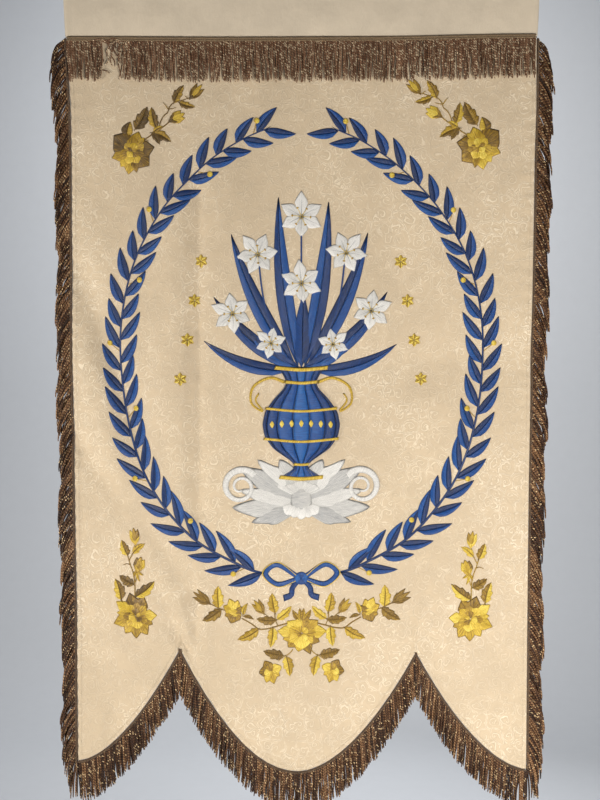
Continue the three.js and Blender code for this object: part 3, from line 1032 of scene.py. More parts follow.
class StrandTree(GeometryTree):
    """Twisted cords that leave a line, bend over under their weight and hang in clumps."""

    usual = {
        "Count": 300,
        "Segments": 11,
        "Sides": 5,
        "Radius": 0.00115,
        "Clump Width": 0.014,
        "Clump Pull": 0.3,
        "Clump Depth": 0.003,
        "Curl": 0.0012,
        "Turns": 1.2,
        "Wave": 0.005,
        "Ease": 1.4,
        "Seed": 1,
    }

    def __init__(self) -> None:
        """Make the tree with its usual inputs."""
        super().__init__("strands", self.usual)

    def rooted(self) -> Link:
        """Set the strands' roots on the line, with what each strand needs to know."""
        given = self.given
        line = self.node("GeometryNodeMeshToCurve", {"Mesh": given("Geometry")})
        feeds = {"Curve": line, "Count": given("Count")}
        points = self.node("GeometryNodeResampleCurve", feeds, mode="COUNT")
        points = self.store(points, "root", "FLOAT_VECTOR", self.node("GeometryNodeInputPosition"))
        points = self.store(points, "way", "FLOAT_VECTOR", self.node("GeometryNodeInputTangent"))
        points = self.store(points, "run", "FLOAT", self.out("GeometryNodeSplineParameter", "Length"))
        feeds = {"Min": (0.0, 0.0, 0.0), "Max": (1.0, 1.0, 1.0), "Seed": given("Seed")}
        luck = self.node("FunctionNodeRandomValue", feeds, data_type="FLOAT_VECTOR")
        points = self.store(points, "chance", "FLOAT_VECTOR", luck)
        feeds = {"Min": 0.0, "Max": 1.0, "Seed": given("Seed") + 50.0}
        chance = self.node("FunctionNodeRandomValue", feeds, data_type="FLOAT")
        feeds = {"A": chance, "B": self.named("keep")}
        gone = self.node("FunctionNodeCompare", feeds, operation="GREATER_THAN")
        feeds = {"Geometry": points, "Selection": gone}
        return self.out("GeometryNodeDeleteGeometry", "Geometry", feeds, domain="POINT")

    def clumped(self, down: Link, luck: tuple[Link, ...]) -> tuple[Link, Link]:
        """Draw each strand towards its clump.

        Args:
            down: The share of the way down the strand.
            luck: The strand's three random numbers.

        Returns:
            How far it goes along the line, and how far it goes towards the front.
        """
        width, depth, run = self.given("Clump Width"), self.given("Clump Depth"), self.named("run")
        place = run / width + (self.noise(self.join(run), 31.0, 1.0) * 2.4 - 1.2)
        index = self.math("FLOOR", place)
        clump_luck = self.dice(self.join(index, self.given("Seed")))
        centre = index + (clump_luck * 0.5 + 0.25) - place
        pull = self.given("Clump Pull") * self.ease(down, 0.1, 1.0)
        phase = (luck[0] + down * self.given("Turns")) * TURN
        curl = self.given("Curl") * self.ease(down, -0.15, 0.5)
        layer = (luck[2] - 0.5) * depth * self.ease(down, -0.2, 0.5)
        lift = (clump_luck - 0.5) * depth * self.ease(down, 0.1, 0.8)
        along = centre * width * pull + self.math("SINE", phase) * curl
        return along, layer + lift + self.math("COSINE", phase) * curl

    def build(self) -> None:
        """Make the tree's nodes."""
        given = self.given
        feeds = {"Start": (0.0, 0.0, 0.0), "End": (0.0, 0.0, -0.01)}
        line = self.node("GeometryNodeCurvePrimitiveLine", feeds)
        feeds = {"Curve": line, "Count": given("Segments") + 1.0}
        strand = self.node("GeometryNodeResampleCurve", feeds, mode="COUNT")
        placed = self.node("GeometryNodeInstanceOnPoints", {"Points": self.rooted(), "Instance": strand})
        strands = self.out("GeometryNodeRealizeInstances", "Geometry", {"Geometry": placed})
        down = self.out("GeometryNodeSplineParameter", "Factor")
        luck = self.split(self.named("chance", "FLOAT_VECTOR"))
        along, front = self.clumped(down, luck)
        share = self.named("share") * (luck[1] * 0.12 + 0.92)
        spread = 1.0 - (1.0 - down) ** given("Ease")
        reach = self.named("reach") * share * spread * (luck[2] * 0.3 + 0.85)
        fall = self.named("fall") * share * down
        bed = self.noise(self.join(self.named("run"), down * 0.03, given("Seed")), 75.0, 2.0)
        along = along + (bed - 0.5) * given("Wave") * self.ease(down, 0.0, 0.6)
        offset = self.vector("SCALE", self.named("outward", "FLOAT_VECTOR"), scale=reach)
        aside = self.vector("SCALE", self.named("way", "FLOAT_VECTOR"), scale=along)
        offset = self.vector("ADD", offset, aside)
        offset = self.vector("ADD", offset, self.join(0.0, front * -1.0, fall * -1.0))
        place = self.vector("ADD", self.named("root", "FLOAT_VECTOR"), offset)
        hung = self.node("GeometryNodeSetPosition", {"Geometry": strands, "Position": place})
        hung = self.store(hung, "along", "FLOAT", fall * (1.0 / MM))
        thick = given("Radius") * (1.0 - down**8.0 * 0.45) * (luck[1] * 0.3 + 0.85)
        ring = self.node("GeometryNodeCurvePrimitiveCircle", {"Resolution": given("Sides"), "Radius": 1.0})
        ring = self.store(ring, "side", "FLOAT_VECTOR", self.node("GeometryNodeInputPosition"))
        feeds = {"Curve": hung, "Profile Curve": ring, "Scale": thick, "Fill Caps": True}
        self.end(self.node("GeometryNodeCurveToMesh", feeds))


class RowTree(GeometryTree):
    """Short rounded loops or stitches set side by side along a line."""

    usual = {
        "Pitch": 0.0025,
        "Long": 0.005,
        "Wide": 0.0022,
        "High": 0.0016,
        "Slant": 0.5,
        "Sway": 0.1,
        "Seed": 3,
    }

    def __init__(self) -> None:
        """Make the tree with its usual inputs."""
        super().__init__("rows", self.usual)

    def build(self) -> None:
        """Make the tree's nodes."""
        given = self.given
        line = self.node("GeometryNodeMeshToCurve", {"Mesh": given("Geometry")})
        feeds = {"Curve": line, "Length": given("Pitch")}
        points = self.node("GeometryNodeResampleCurve", feeds, mode="LENGTH")
        feeds = {"Vector": self.named("outward", "FLOAT_VECTOR"), "Factor": 1.0}
        turned = self.node("FunctionNodeAlignRotationToVector", feeds, axis="Z")
        feeds = {"Rotation": turned, "Vector": self.node("GeometryNodeInputTangent"), "Factor": 1.0}
        turned = self.node("FunctionNodeAlignRotationToVector", feeds, axis="X", pivot_axis="Z")
        feeds = {"Min": given("Sway") * -1.0, "Max": given("Sway"), "Seed": given("Seed")}
        luck = self.node("FunctionNodeRandomValue", feeds, data_type="FLOAT")
        feeds = {"Rotation": turned, "Rotate By": self.join(0.0, 0.0, given("Slant") + luck)}
        slanted = self.node("FunctionNodeRotateRotation", feeds, rotation_space="LOCAL")
        bead = self.node("GeometryNodeMeshUVSphere", {"Segments": 8, "Rings": 5, "Radius": 0.5})
        size = self.join(given("Long"), given("Wide"), given("High"))
        shape = self.socket(bead.outputs, "Mesh")
        feeds = {"Points": points, "Instance": shape, "Rotation": slanted, "Scale": size}
        self.end(self.node("GeometryNodeInstanceOnPoints", feeds))


# Fringes


class TreeStyle:
    """Values for a geometry tree's inputs, each field named after its input."""

    lengths = {"Radius", "Clump Width", "Clump Depth", "Curl", "Wave", "Pitch", "Long", "Wide", "High"}

    def inputs(self) -> dict[str, float | int]:
        """Give the inputs by name, with lengths in metres."""
        given = {name.replace("_", " ").title(): value for name, value in asdict(self).items()}
        return {name: value * MM if name in self.lengths else value for name, value in given.items()}


@dataclass(frozen=True)
class FringeStyle(TreeStyle):
    """How the cords of one fringe hang."""

    count: int
    clump_width: float
    clump_pull: float
    clump_depth: float
    curl: float
    turns: float
    wave: float
    ease: float
    radius: float
    seed: int


@dataclass(frozen=True)
class LoopStyle(TreeStyle):
    """How the loops or stitches of one row are sewn."""

    pitch: float
    long: float
    wide: float
    high: float
    slant: float
    sway: float = 0.1
    seed: int = 3


@dataclass
class FringeMaker:
    """Makes the fringes and their headings from the cloth's form."""

    form: ClothForm
    cord: bpy.types.Material
    cord_top: bpy.types.Material
    braid: bpy.types.Material
    braid_top: bpy.types.Material
    rows: RowTree
    strands: StrandTree = field(default_factory=StrandTree)
    length: float = 72.0
    braid_width: float = 10.0
    heading_width: float = 5.0
    band_steps: int = 84
    side_start: float = 3.5
    side_reach: float = 25.0
    side_fall: float = 63.0
    stray_radius: float = 1.1
    stray_sides: int = 6
    made: list[bpy.types.Object] = field(default_factory=list)
    strays: tuple[tuple[Pair, ...], ...] = (
        ((-370, -104), (-374, -122), (-366, -140), (-372, -160), (-368, -174)),
        ((-366, -104), (-366, -118), (-372, -134), (-364, -150)),
        ((-362, -103), (-368, -114), (-362, -130), (-358, -140)),
        ((-351, -102), (-346, -112), (-353, -122), (-349, -136), (-355, -146)),
        ((-347, -102), (-350, -112), (-343, -124), (-346, -138), (-342, -149)),
        ((-343, -102), (-340, -114), (-345, -128), (-339, -138), (-338, -149)),
        ((-339, -102), (-343, -114), (-338, -122), (-331, -134), (-334, -128)),
        ((-335, -102), (-337, -113), (-330, -122), (-333, -131), (-326, -134)),
        ((-331, -102), (-328, -112), (-333, -120), (-324, -124)),
        ((-306, -104), (-320, -110), (-329, -124), (-331, -146), (-326, -170)),
        ((-303, -104), (-317, -112), (-325, -130), (-326, -150), (-331, -172)),
        ((-300, -104), (-312, -114), (-318, -134), (-316, -152), (-319, -172)),
        ((-296, -104), (-307, -116), (-312, -138), (-309, -158), (-311, -174)),
        ((-360, -155), (-353, -157), (-348, -161)),
        ((-378, -103), (-366, -100), (-352, -103), (-340, -99), (-326, -104)),
        ((-372, -109), (-358, -104), (-346, -108), (-332, -103), (-318, -107)),
        ((-364, -101), (-352, -107), (-338, -104), (-324, -109)),
        ((212, -104), (216, -124), (209, -146), (211, -166)),
        ((222, -104), (217, -126), (221, -150), (219, -168)),
        ((206, -104), (214, -116), (220, -134), (226, -150)),
    )

    def keep(self, name: str, parts: list[bpy.types.Object], node: str) -> None:
        """Join a fringe's parts into one piece that stands for its solid.

        Args:
            name: The piece's name.
            parts: The cords first, then the heading's rows.
            node: The solid.
        """
        with bpy.context.temp_override(active_object=parts[0], selected_editable_objects=parts):
            bpy.ops.object.join()
        piece = parts[0]
        piece.name = piece.data.name = name
        self.made.append(settle(piece, Slot.FRINGE, node))

    def band(
        self, name: str, line: Array, across: Array, size: Pair, material: bpy.types.Material
    ) -> bpy.types.Object:
        """Make the flat woven band under a heading's loops.

        Args:
            name: The band's name.
            line: Its middle line.
            across: The unit way across it, at each point.
            size: Its width and its thickness.
            material: Its material.

        Returns:
            The band.
        """
        angle = np.linspace(0.0, TURN, 10, endpoint=False)
        wide = 0.5 * size[0] * np.sign(np.cos(angle)) * np.abs(np.cos(angle)) ** 0.6
        deep = 0.5 * size[1] * np.sin(angle)
        buffer = MeshBuffer()
        buffer.tube(line[None] + across[None] * wide[:, None, None] + FRONT * deep[:, None, None])
        return show(name, buffer.mesh(name), material)

    def corded(self, node: str, cords: bpy.types.Object, line: Array, across: Array, slant: float) -> None:
        """Sew the narrow corded heading over the roots of a fringe, and keep them as one piece.

        Args:
            node: The solid that the fringe stands for.
            cords: The fringe's cords.
            line: The middle line of the heading.
            across: The unit way across it, at each point.
            slant: How far its loops lean, in radians.
        """
        step = len(line) // self.band_steps
        size = (self.heading_width, 3.2)
        band = self.band(f"{node}_band", line[::step], across[::step], size, self.braid)
        row = PathLine(line + [0.0, -1.5, 0.0], facing(line))
        style = LoopStyle(2.9, 5.4, 2.4, 2.6, slant)
        loops = self.rows.run(row, f"{node}_loops", self.braid, style.inputs())
        self.keep(f"{node}_cords", [cords, band, loops], node)

    def top(self) -> None:
        """Make the fringe that is sewn across the front over the seam."""
        half = self.form.half_width
        x = np.linspace(-half + 1.0, half - 1.0, 341)
        rise = 5.5 * smooth((x - 120.0) / 300.0) + 0.5 * np.sin(x / 90.0)
        z = self.form.seam_z - self.form.gap - 0.5 * self.braid_width + rise
        ahead = self.form.depth(x, z) - 0.5 * self.form.thickness - 2.5 - 0.34 * rise
        line = np.stack([x, ahead, z], axis=1)
        up = np.broadcast_to([0.0, 0.0, 1.0], line.shape)
        worn_left = np.exp(-(((x + 343.0) / 17.0) ** 6))
        worn_right = np.exp(-(((x - 214.0) / 7.0) ** 4))
        values = {
            **facing(line),
            "reach": np.full(len(x), 2.2 * MM),
            "fall": np.full(len(x), (self.length - 0.5) * MM),
            "share": 1.0 - 0.52 * worn_left - 0.08 * worn_right - 0.03 * smooth((x - 250.0) / 150.0),
            "keep": 1.0 - 0.97 * worn_left - 0.6 * worn_right,
        }
        style = FringeStyle(300, 15.0, 0.28, 3.6, 0.8, 0.9, 8.0, 0.9, radius=1.4, seed=11)
        roots = PathLine(line + [0.0, -0.6, -0.5 * self.braid_width + 1.5], values)
        parts = [self.strands.run(roots, "top_cords", self.cord_top, style.inputs())]
        parts.append(self.band("top_band", line, up, (self.braid_width, 2.2), self.braid_top))
        for i, (lift, slant) in enumerate(((2.4, 0.62), (-1.6, -0.62))):
            row = PathLine(line + [0.0, -1.1, lift], facing(line))
            loops = LoopStyle(2.6, 5.2, 2.3, 2.0, slant, seed=i)
            parts.append(self.rows.run(row, f"top_loops_{i}", self.braid_top, loops.inputs()))
        parts.append(self.tangle())
        self.keep("fringe_top_cords", parts, "fringe_top")

    def tangle(self) -> bpy.types.Object:
        """Make the few tangled cords that are left where the top fringe has worn."""
        buffer = MeshBuffer()
        around = np.linspace(0.0, TURN, self.stray_sides, endpoint=False)
        cosine, sine = np.cos(around), np.sin(around)
        for number, knots in enumerate(self.strays):
            flat = curve_through(knots, 16)
            depth = self.form.depth(flat[:, 0], flat[:, 1]) - 0.5 * self.form.thickness
            lift = 3.2 + 1.4 * math.sin(number * 2.3)
            line = np.stack([flat[:, 0], depth - lift, flat[:, 1]], axis=1)
            across = across_line(flat)
            down = np.linspace(0, 1, len(line))
            over = np.stack([across[:, 0], np.zeros(len(line)), across[:, 1]], axis=1)
            side = cosine[:, None, None] * over + sine[:, None, None] * FRONT
            luck = [0.25 + 0.25 * math.sin(number * 5.1), 0.5 + 0.5 * math.sin(number * 3.3), 0.4]
            shape = (self.stray_sides, len(line))
            circle = np.stack([cosine, sine, np.zeros(self.stray_sides)], axis=1)[:, None]
            buffer.tube(
                line[None] + side * (self.stray_radius * (1 - 0.4 * down**6))[:, None],
                side=np.broadcast_to(circle, (*shape, 3)),
                along=np.broadcast_to(60.0 * down, shape),
                chance=np.broadcast_to(luck, (*shape, 3)),
            )
        return show("strays", buffer.mesh("strays"), self.cord_top)

    def side(self, side: Side, node: str) -> None:
        """Make the fringe down one side, which stands for the solid of that name."""
        form, sign = self.form, side.value
        low = float(form.hem(sign * form.half_width))
        z = np.linspace(form.seam_z - self.side_start, low, 420)
        edge = form.half_width + form.edge_shift(z, side)
        deep = form.depth(np.full_like(z, sign * form.half_width), z)
        line = np.stack([sign * (edge + 2.8), deep, z], axis=1)
        level = np.ones(len(z))
        arch = 1.0 - smooth((z[0] - z) / 34.0)
        near = 1.0 - smooth((z - low) / 50.0)
        fan = 1.0 - near * (0.60 + 0.52 * np.sin(1.7 * z))
        bunch = 1.0 + 0.10 * np.sin(z / 31.0) + 0.06 * np.sin(z / 11.0 + 1.0)
        values = {
            "outward": np.stack([sign * level, 0.0 * level, 0.62 * arch], axis=1),
            "reach": (self.side_reach - 1.0) * fan * bunch * MM,
            "fall": (self.side_fall + 1.0 + 7.0 * near) * MM,
            "share": level,
            "keep": level,
        }
        style = FringeStyle(680, 24.0, 0.20, 7.5, 1.0, 1.2, 12.0, 2.2, radius=1.5, seed=21 + sign)
        roots = PathLine(line - [1.3 * sign, 0.0, 0.0], values)
        cords = self.strands.run(roots, f"{node}_strands", self.cord, style.inputs())
        across = np.broadcast_to([1.0, 0.0, 0.0], line.shape)
        self.corded(node, cords, line, across, 0.9 * sign)

    def foot(self, first: int, last: int, node: str, count: int) -> None:
        """Make the fringe round one point of the hem.

        Args:
            first: The number of the hem's turn where it starts.
            last: The number of the turn where it ends.
            node: The solid that it stands for.
            count: How many cords it has.
        """
        form = self.form
        start, stop = form.turns[first].x + 0.4, form.turns[last].x - 0.4
        x = np.linspace(start, stop, 300)
        hem = form.hem(x)
        slope = np.gradient(hem, x)
        size = np.hypot(1.0, slope)
        level = np.ones(len(x))
        down = np.stack([slope / size, 0.0 * level, -1.0 / size], axis=1)
        moved = form.drawn(x, hem)
        line = np.stack([moved, form.depth(x, hem), hem], axis=1) + 3.0 * down
        line[:, 0] = np.clip(line[:, 0], moved[0] + 0.3, moved[-1] - 0.3)
        inside = smooth(np.minimum(x - start, stop - x) / 10.0)
        values = {
            "outward": down,
            "reach": (4.0 + 3.0 * inside) * MM,
            "fall": (self.length - 5.0 + 2.0 * np.sin(x / 37.0)) * MM,
            "share": level,
            "keep": level,
        }
        style = FringeStyle(count, 15.0, 0.16, 5.0, 0.7, 1.1, 7.0, 0.8, radius=1.45, seed=31 + first)
        cords = self.strands.run(PathLine(line, values), f"{node}_strands", self.cord, style.inputs())
        self.corded(node, cords, line, -down, 0.9)

    def build(self) -> list[bpy.types.Object]:
        """Make all the fringes."""
        self.top()
        self.side(Side.LEFT, "fringe_left")
        self.side(Side.RIGHT, "fringe_right")
        self.foot(0, 1, "fringe_point_left", 156)
        self.foot(1, 3, "fringe_point_centre", 350)
        self.foot(3, 4, "fringe_point_right", 164)
        return self.made


# Embroidery


@dataclass(frozen=True)
class Pose:
    """Where a motif is set on the cloth, and whether it is mirrored."""

    x: float = 0.0
    z: float = 0.0
    mirror: bool = False

    def lay(self, points: Array) -> Array:
        """Move flat points of a motif to their places on the cloth."""
        flat = np.asarray(points, float)
        across = -flat[..., 0] if self.mirror else flat[..., 0]
        return np.stack([self.x + across, self.z + flat[..., 1]], axis=-1)


@dataclass(frozen=True)
class Petal:
    """One petal of a flower: where it points, how far it reaches, and its shade."""

    angle: float
    root: float
    reach: float
    width: float
    shade: float
    point: float = 0.3
    layer: float = 0.0
    grade: float = 0.15
    scallops: int = 0


def petals(grade: float, *rows: tuple[float, ...]) -> tuple[Petal, ...]:
    """Give a flower's petals, the lowest first, from rows of their sizes."""
    return tuple(Petal(*row, grade=grade) for row in rows)


@dataclass
class SatinWork:
    """Raised satin stitch of one colour, gathered into one piece."""

    form: ClothForm
    contrast: float = 1.0
    buffer: MeshBuffer = field(default_factory=MeshBuffer)
    pose: Pose = Pose()
    tone: float = 0.0
    seed: int = 0

    def at(self, pose: Pose, tone: float = 0.0) -> "SatinWork":
        """Say where the next motifs are set, and how much brighter they are."""
        self.pose, self.tone = pose, tone
        return self

    def patch(
        self,
        left: Array,
        right: Array,
        shade: float,
        pad: float = 1.0,
        layer: float = 0.0,
        grade: float = 0.0,
        rim: float = 0.12,
        columns: int = 5,
    ) -> None:
        """Fill between two edges with threads that run from one to the other.

        Args:
            left: The edge where the threads start.
            right: The edge where they end, with as many points.
            shade: How bright they are, 0 to 1, with painted sheen or shade for the light that their direction
                catches.
            pad: How high the middle is raised.
            layer: How high the edge already lies on other stitches.
            grade: How much brighter they get towards the right edge.
            rim: How much darker the outer edge is.
            columns: How many faces there are from edge to edge.
        """
        left, right = self.pose.lay(left), self.pose.lay(right)
        s = (0.5 - 0.5 * np.cos(np.linspace(0.0, math.pi, columns + 1)))[None]
        t = np.linspace(0.0, 1.0, len(left))[:, None]
        flat = left[:, None] * (1 - s[..., None]) + right[:, None] * s[..., None]
        crown = np.sqrt(np.clip(1 - (2 * s - 1) ** 4, 0, 1)) * np.sqrt(np.clip(1 - (2 * t - 1) ** 6, 0, 1))
        top = self.form.place(flat[..., 0], flat[..., 1], 0.12 + layer + pad * crown)
        inner = self.form.place(flat[1:-1, 1:-1, 0], flat[1:-1, 1:-1, 1], -0.35)
        number = np.arange(crown.size).reshape(crown.shape)
        below = number.copy()
        below[1:-1, 1:-1] = crown.size + np.arange(inner.size // 3).reshape(inner.shape[:2])
        way, over = np.diff(flat, axis=0)[:, :-1], np.diff(flat, axis=1)[:-1]
        turned = np.sum(way[..., 0] * over[..., 1] - way[..., 1] * over[..., 0])
        upper, lower = self.halved(number), self.halved(below)[:, ::-1]
        if turned < 0:
            upper, lower = upper[:, ::-1], lower[:, ::-1]
        wide = np.linalg.norm(right - left, axis=1)[:, None] * s
        run = np.broadcast_to(run_of(0.5 * (left + right))[:, None], wide.shape)
        thread = np.stack([wide, run, np.full(wide.shape, float(self.seed))], axis=-1)
        value = self.tone + 0.5 + self.contrast * (shade - 0.5) + grade * (s - 0.4) - rim * (s > 0.995)
        value = np.broadcast_to(value, wide.shape)
        self.buffer.add(
            np.vstack([top.reshape(-1, 3), inner.reshape(-1, 3)]),
            np.vstack([upper, lower]),
            thread=np.vstack([thread.reshape(-1, 3), thread[1:-1, 1:-1].reshape(-1, 3)]),
            shade=np.concatenate([value.ravel(), value[1:-1, 1:-1].ravel()]),
        )
        self.seed += 1

    @staticmethod
    def halved(number: Array) -> Array:
        """Give a grid's faces as triangles, cut from its corners towards its middle."""
        a, b, c, d = number[:-1, :-1], number[1:, :-1], number[1:, 1:], number[:-1, 1:]
        rows, columns = a.shape
        other = (np.arange(rows)[:, None] < rows / 2) != (np.arange(columns)[None] < columns / 2)
        first = np.where(other[..., None], np.stack([a, b, d], axis=-1), np.stack([a, b, c], axis=-1))
        second = np.where(other[..., None], np.stack([b, c, d], axis=-1), np.stack([a, c, d], axis=-1))
        return np.concatenate([first.reshape(-1, 3), second.reshape(-1, 3)])

    def strip(
        self,
        knots: Array | list[Pair],
        width: float | Pair,
        shade: float,
        layer: float = 0.0,
        pad: float = 0.8,
    ) -> None:
        """Lay a stem: a narrow band of short threads along a curve.

        Args:
            knots: The points that the curve goes through.
            width: Its width, or its widths at the start and the end.
            shade: How bright it is.
            layer: How high it lies on other stitches.
            pad: How high it is raised.
        """
        count = int(np.clip(run_of(np.asarray(knots, float))[-1] / 4.0, 6, 60))
        line = curve_through(knots, count)
        ends = (width, width) if isinstance(width, (int, float)) else width
        half = 0.5 * np.linspace(ends[0], ends[1], count)[:, None]
        away = across_line(line) * half
        slant = np.gradient(line, axis=0) * 0.25
        self.patch(line + away + slant, line - away - slant, shade, pad, layer, rim=0.0, columns=3)

    def leaf(
        self,
        base: Pair,
        tip: Pair,
        width: float,
        shades: Pair,
        bow: float = 0.06,
        teeth: int = 3,
        layer: float = 0.0,
        rib: float | None = 0.2,
    ) -> None:
        """Sew a leaf in two halves that meet at its rib.

        Args:
            base: Where it leaves its stem.
            tip: Where it points.
            width: Its width.
            shades: The shades of its left and right half, seen from base to tip, with painted sheen or shade
                for the light that each half's threads catch.
            bow: How much it bends, as a share of its length.
            teeth: How many teeth each edge has.
            layer: How high it lies on other stitches.
            rib: The shade of the rib's stitches, or None for no rib.
        """
        start, end = np.asarray(base, float), np.asarray(tip, float)
        axis = end - start
        length = float(np.linalg.norm(axis))
        side = np.array([-axis[1], axis[0]]) / length

        def spine(t: Array) -> Array:
            """Give the leaf's bent middle line."""
            return start + axis * t[:, None] + side * (4 * bow * length * t * (1 - t))[:, None]

        t = np.linspace(0.0, 1.0, 6 * teeth + 3 if teeth else 10)
        ahead = t + 0.16 * (1 - t) * np.minimum(1.0, 5.0 * t)
        form = np.sin(math.pi * ahead**0.72) ** 0.85 + 0.05
        if teeth:
            form = form * (1.0 - 0.34 * (1.0 - (ahead * (teeth + 0.4)) % 1.0) * (ahead < 0.97))
        for sign, shade in ((1.0, shades[0]), (-1.0, shades[1])):
            edge = spine(ahead) + sign * side * (0.5 * width * form)[:, None]
            self.patch(spine(t) + sign * side * 0.06, edge, shade, 0.9, layer, columns=4)
        if rib is not None:
            self.strip(spine(np.linspace(-0.06, 0.86, 7)), (1.5, 0.7), rib, layer + 0.75, 0.35)

    def petal(self, centre: Pair, petal: Petal) -> None:
        """Sew a petal whose threads run outwards from the middle of its flower."""
        turn = math.radians(petal.angle)
        out, over = np.array([math.cos(turn), math.sin(turn)]), np.array([-math.sin(turn), math.cos(turn)])
        u = np.linspace(-1.0, 1.0, 17)
        along = 1.0 - np.abs(u) ** 1.5
        rise, past = np.clip(along / 0.55, 0.0, 1.0) ** 0.7, np.clip((1.0 - along) / 0.45, 0.0, 1.0)
        form = np.sign(u) * rise * past ** (0.42 + 0.6 * petal.point)
        if petal.scallops:
            along = along * (0.86 + 0.14 * np.abs(np.sin(0.5 * math.pi * petal.scallops * (u + 1.0))))
        length = petal.reach - petal.root
        edge = np.outer(petal.root + length * along, out) + np.outer(0.5 * petal.width * form, over)
        inner = (petal.root + 0.04 * length) * out + np.outer(0.11 * petal.width * u, over)
        edge[[0, -1]] += 0.6 * np.outer([-1.0, 1.0], over)
        middle = np.asarray(centre, float)
        self.patch(middle + inner, middle + edge, petal.shade, 1.0, petal.layer, petal.grade, rim=0.26)

    def flower(self, centre: Pair, rows: tuple[Petal, ...]) -> None:
        """Sew a flower's petals, the lowest first."""
        for row in rows:
            self.petal(centre, row)

    def dot(self, centre: Pair, radius: float, shade: float, layer: float = 0.0) -> None:
        """Sew a small round berry.

        Args:
            centre: Its middle.
            radius: Its radius.
            shade: How bright it is.
            layer: How high it lies on other stitches.
        """
        angle = np.linspace(0.49, -0.49, 7) * math.pi
        half = radius * np.stack([np.cos(angle), np.sin(angle)], axis=1)
        middle = np.asarray(centre, float)
        self.patch(middle + half * [-1, 1], middle + half, shade, 1.6, layer, 0.2, columns=4)

    def finish(self, name: str, material: bpy.types.Material, slot: Slot) -> bpy.types.Object:
        """Make the piece.

        Args:
            name: Its name.
            material: Its material.
            slot: Its finish in the record.

        Returns:
            The piece.
        """
        return settle(show(name, self.buffer.mesh(name), material), slot)


